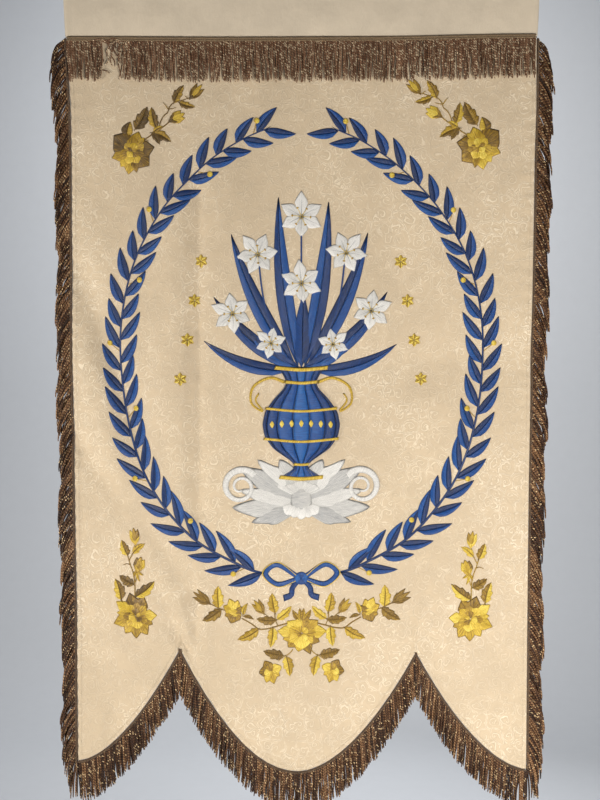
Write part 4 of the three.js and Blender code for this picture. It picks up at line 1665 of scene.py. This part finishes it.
@dataclass(frozen=True)
class Flora:
    """Roses, buds and leafy sprays, sewn in gold."""

    work: SatinWork
    corner_rose: tuple[Petal, ...] = petals(
        0.18,
        (70, 8, 38, 26, 0.62, 0.8), (46, 12, 34, 18, 0.74, 0.8), (140, 4, 45, 50, 0.13, 0.9),
        (10, 8, 43, 33, 0.17, 0.9), (-40, 8, 42, 38, 0.24, 0.9), (-162, 10, 41, 24, 0.60, 0.9),
        (-128, 10, 36, 24, 0.86, 0.8), (-100, 10, 43, 25, 0.78, 0.8), (-78, 12, 40, 18, 0.36, 0.9, 0.2),
        (84, 2, 29, 27, 0.50, 0.4, 0.3), (28, 2, 27, 26, 0.66, 0.5, 0.35),
        (-18, 3, 25, 21, 0.34, 0.4, 0.4), (-66, 2, 27, 26, 0.80, 0.4, 0.4),
        (-112, 2, 26, 22, 0.96, 0.3, 0.45), (-156, 2, 27, 24, 0.56, 0.4, 0.45),
        (136, 1, 20, 20, 0.74, 0.3, 0.5), (66, 1, 17, 18, 0.86, 0.2, 0.7),
        (-40, 1, 15, 17, 0.44, 0.2, 0.75), (-130, 0, 14, 16, 0.92, 0.2, 0.8),
        (150, 0, 11, 11, 0.30, 0.2, 0.9), (20, 0, 9, 9, 0.70, 0.2, 0.95),
    )
    foot_rose: tuple[Petal, ...] = petals(
        0.18,
        (114, 6, 40, 32, 0.18, 0.9), (74, 6, 45, 30, 0.14, 0.9), (34, 10, 47, 24, 0.88, 0.8),
        (8, 12, 38, 18, 0.70, 0.8), (-20, 10, 47, 27, 0.62, 0.9), (178, 10, 41, 25, 0.92, 0.9),
        (206, 10, 36, 20, 0.40, 0.7), (-122, 5, 42, 27, 0.56, 0.6), (-90, 5, 43, 26, 0.46, 0.6),
        (-58, 5, 40, 26, 0.66, 0.6), (136, 3, 28, 24, 0.58, 0.5, 0.3), (96, 3, 27, 24, 0.34, 0.4, 0.3),
        (48, 3, 28, 24, 0.78, 0.4, 0.35), (-4, 3, 27, 22, 0.30, 0.4, 0.4),
        (-48, 2, 26, 24, 0.70, 0.3, 0.4), (-100, 2, 26, 28, 0.88, 0.3, 0.45),
        (-152, 2, 26, 22, 0.46, 0.4, 0.5), (90, 1, 17, 18, 0.26, 0.2, 0.75),
        (-20, 1, 16, 17, 0.86, 0.2, 0.8), (-140, 1, 15, 16, 0.20, 0.2, 0.85),
        (160, 0, 10, 10, 0.74, 0.2, 0.95),
    )
    garland_rose: tuple[Petal, ...] = petals(
        0.18,
        (104, 8, 31, 28, 0.74, 0.8), (70, 8, 33, 26, 0.26, 0.8), (38, 10, 39, 26, 0.50, 0.8),
        (4, 12, 47, 28, 0.78, 0.9), (-28, 10, 38, 26, 0.24, 0.9), (-68, 8, 44, 22, 0.18, 0.9),
        (-100, 8, 36, 26, 0.64, 0.7), (-134, 8, 37, 28, 0.32, 0.8), (-162, 10, 37, 24, 0.52, 0.8),
        (174, 12, 46, 26, 0.86, 0.9), (140, 8, 36, 28, 0.90, 0.8), (-88, 2, 31, 36, 0.94, 0.2, 0.35),
        (-40, 3, 29, 24, 0.70, 0.5, 0.35), (0, 3, 28, 22, 0.44, 0.5, 0.4),
        (-146, 3, 29, 24, 0.78, 0.4, 0.4), (160, 3, 27, 24, 0.60, 0.4, 0.45),
        (112, 2, 26, 24, 0.84, 0.4, 0.45), (58, 2, 26, 24, 0.36, 0.4, 0.5),
        (-70, 1, 18, 20, 0.98, 0.2, 0.8), (140, 1, 17, 17, 0.50, 0.2, 0.85),
        (40, 1, 15, 16, 0.74, 0.2, 0.9), (-150, 0, 10, 11, 0.28, 0.2, 0.95),
    )
    open_flower: tuple[Petal, ...] = petals(
        0.15,
        (150, -8, 25, 24, 0.62, 0.6), (112, -8, 28, 22, 0.86, 0.5), (76, -8, 24, 20, 0.70, 0.5),
        (200, -4, 20, 20, 0.34, 0.5), (250, -4, 22, 26, 0.22, 0.5), (300, -4, 18, 20, 0.30, 0.6),
        (95, -10, 16, 18, 0.95, 0.2, 0.4), (35, -10, 18, 16, 0.18, 0.5, 0.45),
        (165, -10, 14, 14, 0.80, 0.2, 0.5),
    )
    hanging_flower: tuple[Petal, ...] = petals(
        0.15,
        (120, -4, 22, 22, 0.20, 0.5), (190, -4, 22, 24, 0.16, 0.4), (250, -4, 24, 20, 0.74, 0.6),
        (285, -4, 26, 20, 0.56, 0.7), (20, -4, 22, 22, 0.90, 0.3), (330, -4, 20, 18, 0.66, 0.5),
        (210, -2, 14, 16, 0.90, 0.2, 0.4), (100, -2, 14, 16, 0.34, 0.2, 0.45),
    )

    def bud(
        self, base: Pair, tip: Pair, width: float, shades: tuple[float, float, float], sepals: float
    ) -> None:
        """Sew a bud that opens at its tip.

        Args:
            base: Where it leaves its stem.
            tip: Its tip.
            width: Its width.
            shades: The shades of its left, middle and right petal.
            sepals: The shade of the two sepals at its base.
        """
        way = np.subtract(tip, base)
        length, turn = float(np.linalg.norm(way)), math.degrees(math.atan2(way[1], way[0]))
        rows = [
            Petal(turn + 16, 0, 0.92 * length, 0.62 * width, shades[0], 0.7, 0.0),
            Petal(turn - 16, 0, 0.92 * length, 0.62 * width, shades[2], 0.7, 0.1),
            Petal(turn, 0, length, 0.55 * width, shades[1], 0.5, 0.3),
            Petal(turn - 34, -1, 0.55 * length, 0.2 * width + 1.5, sepals, 0.9, 0.5),
            Petal(turn + 34, -1, 0.55 * length, 0.2 * width + 1.5, sepals, 0.9, 0.5),
            Petal(turn, -3, 0.26 * length, 0.36 * width, sepals - 0.08, 0.4, 0.6),
        ]
        self.work.flower(base, tuple(rows))

    def corner_spray(self, pose: Pose, tone: float) -> None:
        """Sew one of the two sprays in the upper corners.

        Args:
            pose: Where its rose is, and whether it is mirrored.
            tone: How much brighter it is.
        """
        work = self.work.at(pose, tone)
        stem = 0.34
        work.strip([(16, 17), (30, 25), (49, 38), (60, 45), (72, 55)], 2.3, stem)
        fork = [(49, 38), (54, 54), (60, 64), (67, 70), (70, 79), (79, 88), (94, 92), (110, 97)]
        work.strip(fork, (2.2, 1.7), stem)
        work.strip([(68, 76), (64, 82), (59, 88)], (2.6, 0.9), 0.5)
        work.strip([(69, 76), (76, 77), (83, 79)], (2.2, 0.9), 0.4)
        work.strip([(104, 96), (99, 100)], (1.8, 0.8), 0.4)
        work.leaf((-11, 26), (-3, 53), 21, (0.16, 0.78), teeth=0)
        work.leaf((6, 39), (29, 80), 27, (0.30, 0.12), -0.05)
        work.leaf((45, 42), (37, 79), 21, (0.74, 0.26), 0.05)
        work.leaf((36, 33), (73, 17), 21, (0.60, 0.14), 0.08)
        work.leaf((40, 34), (58, 45), 13, (0.85, 0.55), teeth=2)
        work.leaf((38, 32), (52, 12), 13, (0.22, 0.14), teeth=2)
        work.leaf((79, 87), (97, 119), 19, (0.24, 0.62), 0.05)
        work.leaf((88, 88), (118, 80), 15, (0.66, 0.20), -0.05)
        self.bud((71, 54), (99, 69), 25, (0.72, 0.95, 0.86), 0.25)
        self.bud((109, 95), (131, 121), 18, (0.34, 0.80, 0.40), 0.2)
        work.strip([(9, 8), (24, 20), (31, 17)], (1.4, 0.8), 0.5, 0.9, 0.4)
        work.flower((0, 0), self.corner_rose)

    def foot_spray(self, pose: Pose, tone: float) -> None:
        """Sew one of the two sprays in the lower corners.

        Args:
            pose: Where its rose is, and whether it is mirrored.
            tone: How much brighter it is.
        """
        work = self.work.at(pose, tone)
        stem = 0.42
        work.strip([(2, 34), (2, 60), (5, 80), (11, 97), (16, 113)], (2.5, 1.9), stem)
        work.strip([(13, 103), (8, 112), (3, 122), (1, 134)], (2.0, 1.6), stem)
        work.strip([(10, 95), (17, 97), (25, 94)], (2.4, 0.9), 0.3)
        work.strip([(29, 30), (25, 24), (18, 18)], 2.0, 0.3)
        work.strip([(1, 62), (-2, 74), (-3, 84)], 2.0, 0.5)
        self.bud((0, 134), (4, 165), 19, (0.28, 0.5, 0.92), 0.85)
        work.leaf((6, 116), (-18, 135), 15, (0.88, 0.72), -0.06, 2)
        work.leaf((15, 112), (27, 141), 20, (0.30, 0.92), -0.04)
        self.bud((-3, 82), (-11, 111), 27, (0.84, 0.55, 0.12), 0.6)
        for tip, shade in (((-15, 76), 0.85), ((-8, 64), 0.92), ((3, 72), 0.7)):
            work.leaf((-3, 85), tip, 5, (shade, shade - 0.15), 0.1, 0, 0.5, None)
        work.leaf((4, 58), (32, 75), 21, (0.16, 0.24), -0.05)
        work.leaf((1, 36), (-36, 65), 24, (0.96, 0.14))
        work.leaf((29, 29), (40, 68), 24, (0.26, 0.90))
        work.flower((0, 0), self.foot_rose)

    def garland_half(self, pose: Pose, tone: float, shift: float) -> None:
        """Sew one half of the garland below the middle.

        Args:
            pose: The middle of the garland's rose, mirrored for the right half.
            tone: How much brighter it is.
            shift: How much some leaves' shades differ from the other half's.
        """
        work = self.work.at(pose, tone)
        stem = 0.26
        work.strip([(-22, 20), (-44, 14), (-61, 9), (-79, 8), (-92, 17), (-111, 28)], (3.0, 2.4), stem)
        work.strip([(-133, 42), (-147, 44), (-162, 51), (-174, 57)], (2.4, 1.8), stem)
        work.strip([(-44, 14), (-49, 26), (-50, 40)], 1.9, stem)
        work.strip([(-48, 26), (-60, 30), (-70, 38)], 1.5, stem)
        work.strip([(-16, -30), (-24, -39), (-32, -43), (-43, -51)], (2.0, 1.6), 0.45)
        self.bud((-170, 55), (-203, 76), 17, (0.10, 0.22, 0.12), 0.15)
        work.leaf((-154, 47), (-155, 88), 24, (0.78 + shift, 0.95), 0.03)
        work.leaf((-149, 44), (-184, 23), 22, (0.30, 0.14), 0.05)
        work.flower((-124, 39), self.open_flower)
        work.leaf((-109, 34), (-100, 56), 9, (0.80, 0.62), 0.1, 0, 0.4)
        work.leaf((-108, 32), (-89, 26), 7, (0.24, 0.16), 0.1, 0, 0.4)
        self.bud((-70, 37), (-89, 63), 16, (0.42, 0.56, 0.22), 0.3)
        work.leaf((-49, 38), (-55, 75), 22, (0.56, 0.84 + shift), 0.04)
        work.leaf((-46, 26), (-19, 51), 18, (0.95, 0.78), -0.06)
        work.leaf((-48, 24), (-84, 27), 19, (0.26, 0.18), 0.05)
        work.leaf((-53, 11), (-58, -26), 21, (0.95, 0.80 + shift), 0.03)
        work.leaf((-80, 8), (-119, -12), 21, (0.72 + shift, 0.50), 0.07)
        work.leaf((-34, -42), (-71, -33), 22, (0.20, 0.12), 0.04)
        work.leaf((-29, -43), (-22, -81), 22, (0.56, 0.90), 0.03)
        work.flower((-58, -70), self.hanging_flower)
        work.leaf((-4, 24), (-17, 44), 10, (0.34, 0.48), 0.05, 0)
        work.leaf((-1, 24), (-4, 47), 9, (0.56, 0.38), 0.0, 0)

    def build(self) -> None:
        """Sew the five gold sprays."""
        self.corner_spray(Pose(-311, -301), -0.13)
        self.corner_spray(Pose(325, -292, mirror=True), 0.02)
        self.foot_spray(Pose(-310, -1156, mirror=True), -0.06)
        self.foot_spray(Pose(316, -1161), 0.06)
        self.garland_half(Pose(0.7, -1188), 0.02, -0.12)
        self.garland_half(Pose(0.7, -1188, mirror=True), 0.04, 0.0)
        self.work.at(Pose(0.7, -1188), 0.04).flower((0, 0), self.garland_rose)


def ray(centre: Pair, turn: float, reach: float) -> Pair:
    """Give the point at a distance from a centre, in a direction in radians."""
    return centre[0] + reach * math.cos(turn), centre[1] + reach * math.sin(turn)


@dataclass(frozen=True)
class Bouquet:
    """A blue urn of white lilies on a scrolled base, between two tall leafy branches."""

    blue: SatinWork
    white: SatinWork
    gold: SatinWork
    rim_z: float = -694.0
    gadroons: tuple[float, ...] = (0.30, 0.48, 0.72, 0.86, 0.70, 0.44, 0.22)
    profile: tuple[Pair, ...] = (
        (-900, 36), (-893, 35), (-884, 15), (-874, 11), (-864, 24), (-845, 52), (-822, 68),
        (-800, 72), (-776, 67), (-752, 50), (-735, 33), (-722, 27), (-708, 34), (-694, 45),
    )
    bands: tuple[tuple[float, float, float], ...] = (
        (-897, 40, 7), (-873, 14, 5), (-826, 69, 5), (-770, 66, 5), (-721, 30, 6), (-695, 49, 7),
    )
    handle: tuple[Pair, ...] = (
        (30, -722), (58, -714), (88, -730), (92, -760), (70, -776), (84, -756), (78, -742),
    )
    blades: tuple[tuple[Pair, Pair, float, float, Pair], ...] = (
        ((-16, -700), (-178, -646), 24, 0.10, (0.62, 0.30)),
        ((16, -700), (176, -652), 24, -0.10, (0.34, 0.66)),
        ((-14, -696), (-160, -566), 27, 0.07, (0.52, 0.20)),
        ((14, -696), (158, -556), 27, -0.07, (0.26, 0.58)),
        ((-10, -694), (-128, -452), 29, 0.05, (0.66, 0.34)),
        ((10, -694), (122, -448), 29, -0.05, (0.30, 0.62)),
        ((-6, -694), (-42, -384), 30, 0.03, (0.42, 0.70)),
        ((6, -694), (50, -392), 30, -0.03, (0.72, 0.38)),
        ((-4, -694), (-96, -624), 25, 0.10, (0.74, 0.42)),
        ((4, -694), (100, -628), 25, -0.10, (0.40, 0.74)),
        ((0, -694), (4, -560), 30, 0.0, (0.50, 0.28)),
    )
    lilies: tuple[tuple[Pair, float, float, float], ...] = (
        ((0, -418), 90, 47, 0.96),
        ((-80, -488), 128, 44, 0.92),
        ((82, -484), 52, 44, 0.94),
        ((-126, -596), 158, 42, 0.90),
        ((128, -590), 22, 42, 0.92),
        ((0, -540), 96, 45, 0.95),
        ((-56, -650), 140, 34, 0.90),
        ((58, -652), 40, 34, 0.92),
    )
    lily_petals: tuple[tuple[float, float, float, float], ...] = (
        (60, 0.92, 0.3, -0.16), (180, 0.82, 0.3, -0.22), (300, 0.92, 0.3, -0.12),
        (0, 1.0, 0.7, 0.0), (118, 0.88, 0.7, -0.06), (242, 0.88, 0.7, -0.02),
    )
    scrolls: tuple[tuple[float, float, float, float, float, float], ...] = (
        (0, -958, 178, 128, 40, 0.62), (6, -948, 166, 112, 38, 0.80), (0, -940, 152, 128, 42, 0.52),
        (4, -934, 138, 104, 38, 0.86), (2, -930, 120, 76, 36, 0.60), (0, -955, 196, 96, 34, 0.44),
    )
    branch: tuple[Pair, ...] = (
        (-70, -1076), (-112, -1062), (-205, -1006), (-286, -902), (-326, -780), (-336, -640),
        (-312, -512), (-258, -412), (-184, -332), (-116, -284), (-58, -258),
    )
    leaf_pairs: int = 26
    leaf_width: float = 18.5
    star_reach: float = 12.5
    star_width: float = 8.5
    stars_in_row: int = 4

    def urn(self) -> None:
        """Sew the urn in upright gadroons, with gold rims, studs and handles."""
        heights, widths = np.asarray(self.profile, float).T
        z = np.linspace(heights[0], heights[-1], 44)
        half = np.pad(np.interp(z, heights, widths), 1, mode="edge")
        half = np.convolve(half, [0.25, 0.5, 0.25], mode="valid")
        angle = np.linspace(-0.5 * math.pi, 0.5 * math.pi, len(self.gadroons) + 1)
        for start, stop, shade in zip(angle, angle[1:], self.gadroons):
            left = np.stack([half * math.sin(start) + 0.2, z], axis=1)
            right = np.stack([half * math.sin(stop) - 0.2, z], axis=1)
            self.blue.patch(left, right, shade, 1.5, 1.2, rim=0.18, columns=4)
        for level, wide, thick in self.bands:
            self.gold.strip([(-wide, level), (0, level - 0.08 * wide), (wide, level)], thick, 0.72, 2.6)
        for x in range(-54, 55, 18):
            self.gold.petal((x, -798 - 0.0006 * x * x), Petal(90, -7, 7, 9, 0.85, 0.6, 2.6))
        for sign in (-1, 1):
            self.gold.strip([(sign * x, level) for x, level in self.handle], (6, 3), 0.66, 0.4, 1.0)

    def lily(self, centre: Pair, angle: float, size: float, shade: float) -> None:
        """Sew an open lily with six petals and its stamens.

        Args:
            centre: Its middle.
            angle: Where it faces, in degrees.
            size: The length of a petal.
            shade: How bright it is.
        """
        for turn, long, layer, step in self.lily_petals:
            petal = Petal(angle + turn, 2, size * long, size * 0.56, shade + step, 0.85, layer, 0.1)
            self.white.petal(centre, petal)
            away = math.radians(angle + turn)
            vein = [ray(centre, away, 2.0), ray(centre, away, 0.72 * size * long)]
            self.white.strip(vein, (1.8, 0.6), 0.42, layer + 0.8, 0.3)
        for k in range(6):
            away = math.radians(angle + 60 * k + 25)
            tip = ray(centre, away, 0.36 * size)
            self.gold.strip([ray(centre, away, 1.4), tip], (1.2, 0.9), 0.8, 1.6, 0.4)
            self.gold.petal(tip, Petal(math.degrees(away) + 90, -2.6, 2.6, 3.4, 0.55, 0.2, 1.7))

    def base(self) -> None:
        """Sew the grey and white scrolled base under the urn."""
        curl = [ray((-112, -915), 0.42 * k + 0.6, 34 - 27 * k / 26) for k in range(27)]
        for sign in (-1, 1):
            for i, (x, z, angle, reach, width, shade) in enumerate(self.scrolls):
                turn = angle if sign < 0 else 180 - angle
                petal = Petal(turn, 4, reach, width, shade, 0.35, 0.05 * i, 0.12, 3 if i % 2 else 0)
                self.white.petal((sign * x, z), petal)
            self.white.strip([(-sign * x, z) for x, z in curl], (15, 4), 0.88, 0.7, 1.4)
        self.white.dot((0, -938), 22, 0.56, 0.4)
        for i, x in enumerate((-52, -26, 0, 26, 52)):
            petal = Petal(270 + 0.62 * x, 2, 30 - 0.1 * abs(x), 26, 0.9 - 0.12 * (i % 2), 0.2, 0.9)
            self.white.petal((0.3 * x, -946), petal)
        self.white.petal((0, -922), Petal(90, -12, 20, 74, 0.7, 0.1, 0.8, scallops=5))

    def branches(self) -> None:
        """Sew the two tall branches with their berries, and the bow that ties them."""
        line = curve_through(self.branch, 300)
        away = across_line(line)
        way = np.gradient(line, axis=0)
        way /= np.linalg.norm(way, axis=1, keepdims=True)
        for mirror in (False, True):
            blue, gold = self.blue.at(Pose(mirror=mirror)), self.gold.at(Pose(mirror=mirror))
            blue.strip(self.branch, (5.0, 2.2), 0.35)
            for k, at in enumerate(np.linspace(5, 296, self.leaf_pairs).astype(int)):
                size = 66.0 - 12.0 * (k / self.leaf_pairs) + 4.0 * math.sin(2.1 * k)
                for sign, shades in ((-1, (0.30, 0.70)), (1, (0.62, 0.24))):
                    spread = math.radians(30 + 4 * math.sin(k * 1.7 + sign))
                    aim = math.cos(spread) * way[at] + sign * math.sin(spread) * away[at]
                    start = line[max(at - 4 * (sign > 0), 0)] + 1.5 * sign * away[at]
                    blue.leaf(start, start + size * aim, self.leaf_width, shades, 0.05 * sign, 0, 0.2, None)
                if k % 3 == 1:
                    berry = line[at] + away[at] * (20 if k % 2 else -20) - 6 * way[at]
                    gold.strip([line[at - 6], berry], 1.4, 0.5)
                    gold.dot(berry, 5.2, 0.8, 1.2)
            loop = [(-4, -1084), (-44, -1060), (-66, -1076), (-44, -1096), (-4, -1086)]
            blue.strip(loop, (9, 10), 0.66, 0.6, 1.2)
            blue.strip([(-3, -1088), (-16, -1102), (-19, -1116), (-33, -1122)], (8, 12), 0.44, 0.6, 1.1)
            edge = [(-6, -1082), (-44, -1055), (-72, -1076), (-44, -1101), (-6, -1088)]
            gold.strip(edge, 1.6, 0.8, 1.4, 0.5)
        blue, gold = self.blue.at(Pose()), self.gold.at(Pose())
        for turn in (0, 90, 180, 270):
            blue.petal((0, -1085), Petal(turn, 0, 12, 20, 0.52 if turn % 180 else 0.8, 0.0, 1.2))

    def stars(self) -> None:
        """Sew two slanted rows of small gold stars."""
        for sign in (-1, 1):
            for k in range(self.stars_in_row):
                middle = (sign * (222 - 13 * k), -716 + 72 * k)
                for point in range(6):
                    turn = math.radians(60 * point + 90)
                    start, tip = ray(middle, turn, 0.6), ray(middle, turn, self.star_reach)
                    self.gold.leaf(start, tip, self.star_width, (0.95, 0.55), 0.0, 0, 0.1, None)

    def build(self) -> None:
        """Sew the whole middle design, the lowest stitches first."""
        for start, tip, width, bow, shades in self.blades:
            self.blue.leaf(start, tip, width, shades, bow, 0, 0.1, None)
        self.base()
        self.urn()
        for centre, angle, size, shade in self.lilies:
            bend = (0.8 * centre[0], 0.5 * (centre[1] + self.rim_z))
            self.blue.strip([(0.25 * centre[0], self.rim_z), bend, centre], 3.2, 0.5, 0.3)
            self.lily(centre, angle, size, shade)
        self.stars()
        self.branches()


# Studio


@dataclass(frozen=True)
class Lamp:
    """One soft square light: where it hangs, what it points at, its width, watts and colour."""

    name: str
    place: tuple[float, float, float]
    aim: tuple[float, float, float]
    size: float
    power: float
    colour: Colour

    def hang(self) -> None:
        """Put the light in the scene."""
        lamp = bpy.data.lights.new(self.name, "AREA")
        lamp.shape, lamp.size, lamp.energy, lamp.color = "SQUARE", self.size * MM, self.power, self.colour
        made = bpy.data.objects.new(self.name, lamp)
        made.location = Vector(self.place) * MM
        made.rotation_euler = (Vector(self.aim) - Vector(self.place)).to_track_quat("-Z", "Y").to_euler()
        bpy.context.scene.collection.objects.link(made)


@dataclass(frozen=True)
class Studio:
    """A pale sweep, soft lights and the camera."""

    floor_z: float = -2400.0
    wall_y: float = 4200.0
    half_width: float = 6000.0
    bend_radius: float = 1500.0
    camera_place: tuple[float, float, float] = (-2.4, -2000.0, -660.3)
    camera_tilt: float = 2.7
    focal: float = 48.87
    sky: Colour = (0.80, 0.86, 0.95)
    sky_strength: float = 0.13
    lamps: tuple[Lamp, ...] = (
        Lamp("left", (-1950, -750, -950), (0, 0, -1030), 400, 27, (1.0, 0.95, 0.88)),
        Lamp("front", (1100, -1900, -1400), (440, 0, -1050), 800, 43, (1.0, 0.95, 0.88)),
        Lamp("low", (100, -1700, -2200), (0, 0, -1300), 900, 9, (1.0, 0.96, 0.90)),
        Lamp("behind", (900, 2200, -300), (0, 0, -800), 1600, 40, (0.95, 0.97, 1.0)),
        Lamp("paper", (0, 2200, 300), (0, 4200, -600), 3000, 60, (1.0, 1.0, 1.0)),
    )

    def sweep(self) -> None:
        """Make the floor that curves up into the backdrop."""
        bend, radius = np.linspace(0.0, 0.5 * math.pi, 16), self.bend_radius
        y = np.concatenate([[-5200.0], self.wall_y - radius + radius * np.sin(bend), [self.wall_y]])
        z = np.concatenate([[self.floor_z], self.floor_z + radius - radius * np.cos(bend), [3500.0]])
        x = np.array([[-self.half_width, self.half_width]])
        buffer = MeshBuffer()
        buffer.grid(np.stack(np.broadcast_arrays(x, y[:, None], z[:, None]), axis=-1))
        show("studio_sweep", buffer.mesh("studio_sweep"), StudioFinish().build("studio_paper"))

    def build(self) -> None:
        """Make the sweep, the world, the lights and the camera."""
        scene = bpy.context.scene
        self.sweep()
        world = bpy.data.worlds.new("studio")
        world.use_nodes = True
        background = world.node_tree.nodes["Background"]
        background.inputs["Color"].default_value = (*self.sky, 1.0)
        background.inputs["Strength"].default_value = self.sky_strength
        scene.world = world
        scene.view_settings.view_transform = "Standard"
        for lamp in self.lamps:
            lamp.hang()
        lens = bpy.data.cameras.new("camera")
        lens.sensor_width, lens.lens, lens.clip_end = 36.0, self.focal, 50.0
        camera = bpy.data.objects.new("camera", lens)
        camera.location = Vector(self.camera_place) * MM
        camera.rotation_euler = (math.radians(90.0 - self.camera_tilt), 0.0, 0.0)
        scene.collection.objects.link(camera)
        scene.camera = camera


# The banner


GOLD_THREAD = SatinFinish(
    (
        (0.065, 0.036, 0.007),
        (0.180, 0.098, 0.012),
        (0.430, 0.255, 0.022),
        (0.740, 0.500, 0.040),
        (0.930, 0.740, 0.130),
    ),
    metallic=0.15,
    streaks=1.25,
    line=0.62,
)
BLUE_THREAD = SatinFinish(
    ((0.002, 0.010, 0.050), (0.003, 0.028, 0.130), (0.005, 0.068, 0.290), (0.015, 0.150, 0.480)),
    sheen=0.0,
    glint=0.16,
)
WHITE_THREAD = SatinFinish(
    ((0.200, 0.205, 0.215), (0.400, 0.405, 0.410), (0.680, 0.670, 0.640), (0.900, 0.885, 0.850)),
    glint=0.10,
)
SIDE_CORD = CordFinish(
    dark=(0.010, 0.004, 0.002),
    middle=(0.090, 0.036, 0.012),
    light=(0.400, 0.220, 0.100),
    glint=(0.850, 0.620, 0.340),
    lift=-0.26,
    spread=0.66,
    glints=0.90,
)
TOP_CORD = CordFinish(
    dark=(0.030, 0.012, 0.006),
    middle=(0.160, 0.076, 0.038),
    light=(0.360, 0.205, 0.115),
    glint=(0.900, 0.720, 0.480),
    lift=0.06,
    spread=0.26,
)
# The sleeve's colours are painted darker than the panel's, as painted shade over the top of the banner.
SHADED_SLEEVE_SATIN = DamaskFinish(ground=(0.620, 0.530, 0.405), figure=(0.690, 0.610, 0.485), figured=False)
SIDE_BRAID = BraidFinish((0.050, 0.026, 0.012), (0.240, 0.140, 0.062))
TOP_BRAID = BraidFinish((0.150, 0.090, 0.040), (0.430, 0.290, 0.150))
SEWING_THREAD = BraidFinish((0.60, 0.50, 0.35), (0.74, 0.64, 0.47))


def sew_hem(form: ClothForm, rows: RowTree, material: bpy.types.Material) -> bpy.types.Object:
    """Sew the line of stitches that holds the turned hem.

    Args:
        form: The cloth's form.
        rows: The tree that sets stitches along a line.
        material: The thread.

    Returns:
        The stitches.
    """
    inset, start, count = 7.0, form.seam_z - 14.0, 300
    half = form.half_width - inset
    x = np.linspace(-half, half, 400)
    hem = form.hem(x)
    up = inset * np.hypot(1.0, np.clip(np.gradient(hem, x), -2.5, 2.5))
    foot = np.stack([x, hem + up], axis=1)
    left = np.stack([np.full(count, -half), np.linspace(start, foot[0, 1], count)], axis=1)
    right = np.stack([np.full(count, half), np.linspace(foot[-1, 1], start, count)], axis=1)
    flat = np.vstack([left[:-1], foot, right[1:]])
    line = form.place(flat[:, 0], flat[:, 1], 0.32)
    style = LoopStyle(3.4, 2.5, 0.6, 0.6, slant=0.0, sway=0.08)
    return rows.run(PathLine(line, facing(line)), "hem_stitches", material, style.inputs())


def main() -> None:
    """Build the banner piece by piece, then the studio."""
    logging.basicConfig(level=logging.INFO, format="%(message)s")
    form, rows = ClothForm(), RowTree()
    cloth, tube = Panel(form), Sleeve(form)
    panel = cloth.build(DamaskFinish())
    sleeve = tube.build(SHADED_SLEEVE_SATIN)
    braid, braid_top = SIDE_BRAID.build("braid_dark"), TOP_BRAID.build("braid_gold")
    cord, cord_top = SIDE_CORD.build("cord_copper"), TOP_CORD.build("cord_taupe")
    fringes = FringeMaker(form, cord, cord_top, braid, braid_top, rows).build()
    stitches = settle(sew_hem(form, rows, SEWING_THREAD.build("sewing_thread")), Slot.DAMASK)
    sprays = SatinWork(form, contrast=0.72)
    Flora(sprays).build()
    blue, white, gold = SatinWork(form), SatinWork(form), SatinWork(form)
    Bouquet(blue, white, gold).build()
    gold_look = GOLD_THREAD.build("gold_satin")
    works = [
        sprays.finish("rose_sprays", gold_look, Slot.GOLD),
        blue.finish("blue_satin_work", BLUE_THREAD.build("blue_satin"), Slot.BLUE),
        white.finish("white_satin_work", WHITE_THREAD.build("white_satin"), Slot.WHITE),
        gold.finish("gold_trim_work", gold_look, Slot.GOLD),
    ]
    Studio().build()


if __name__ == "__main__":
    main()
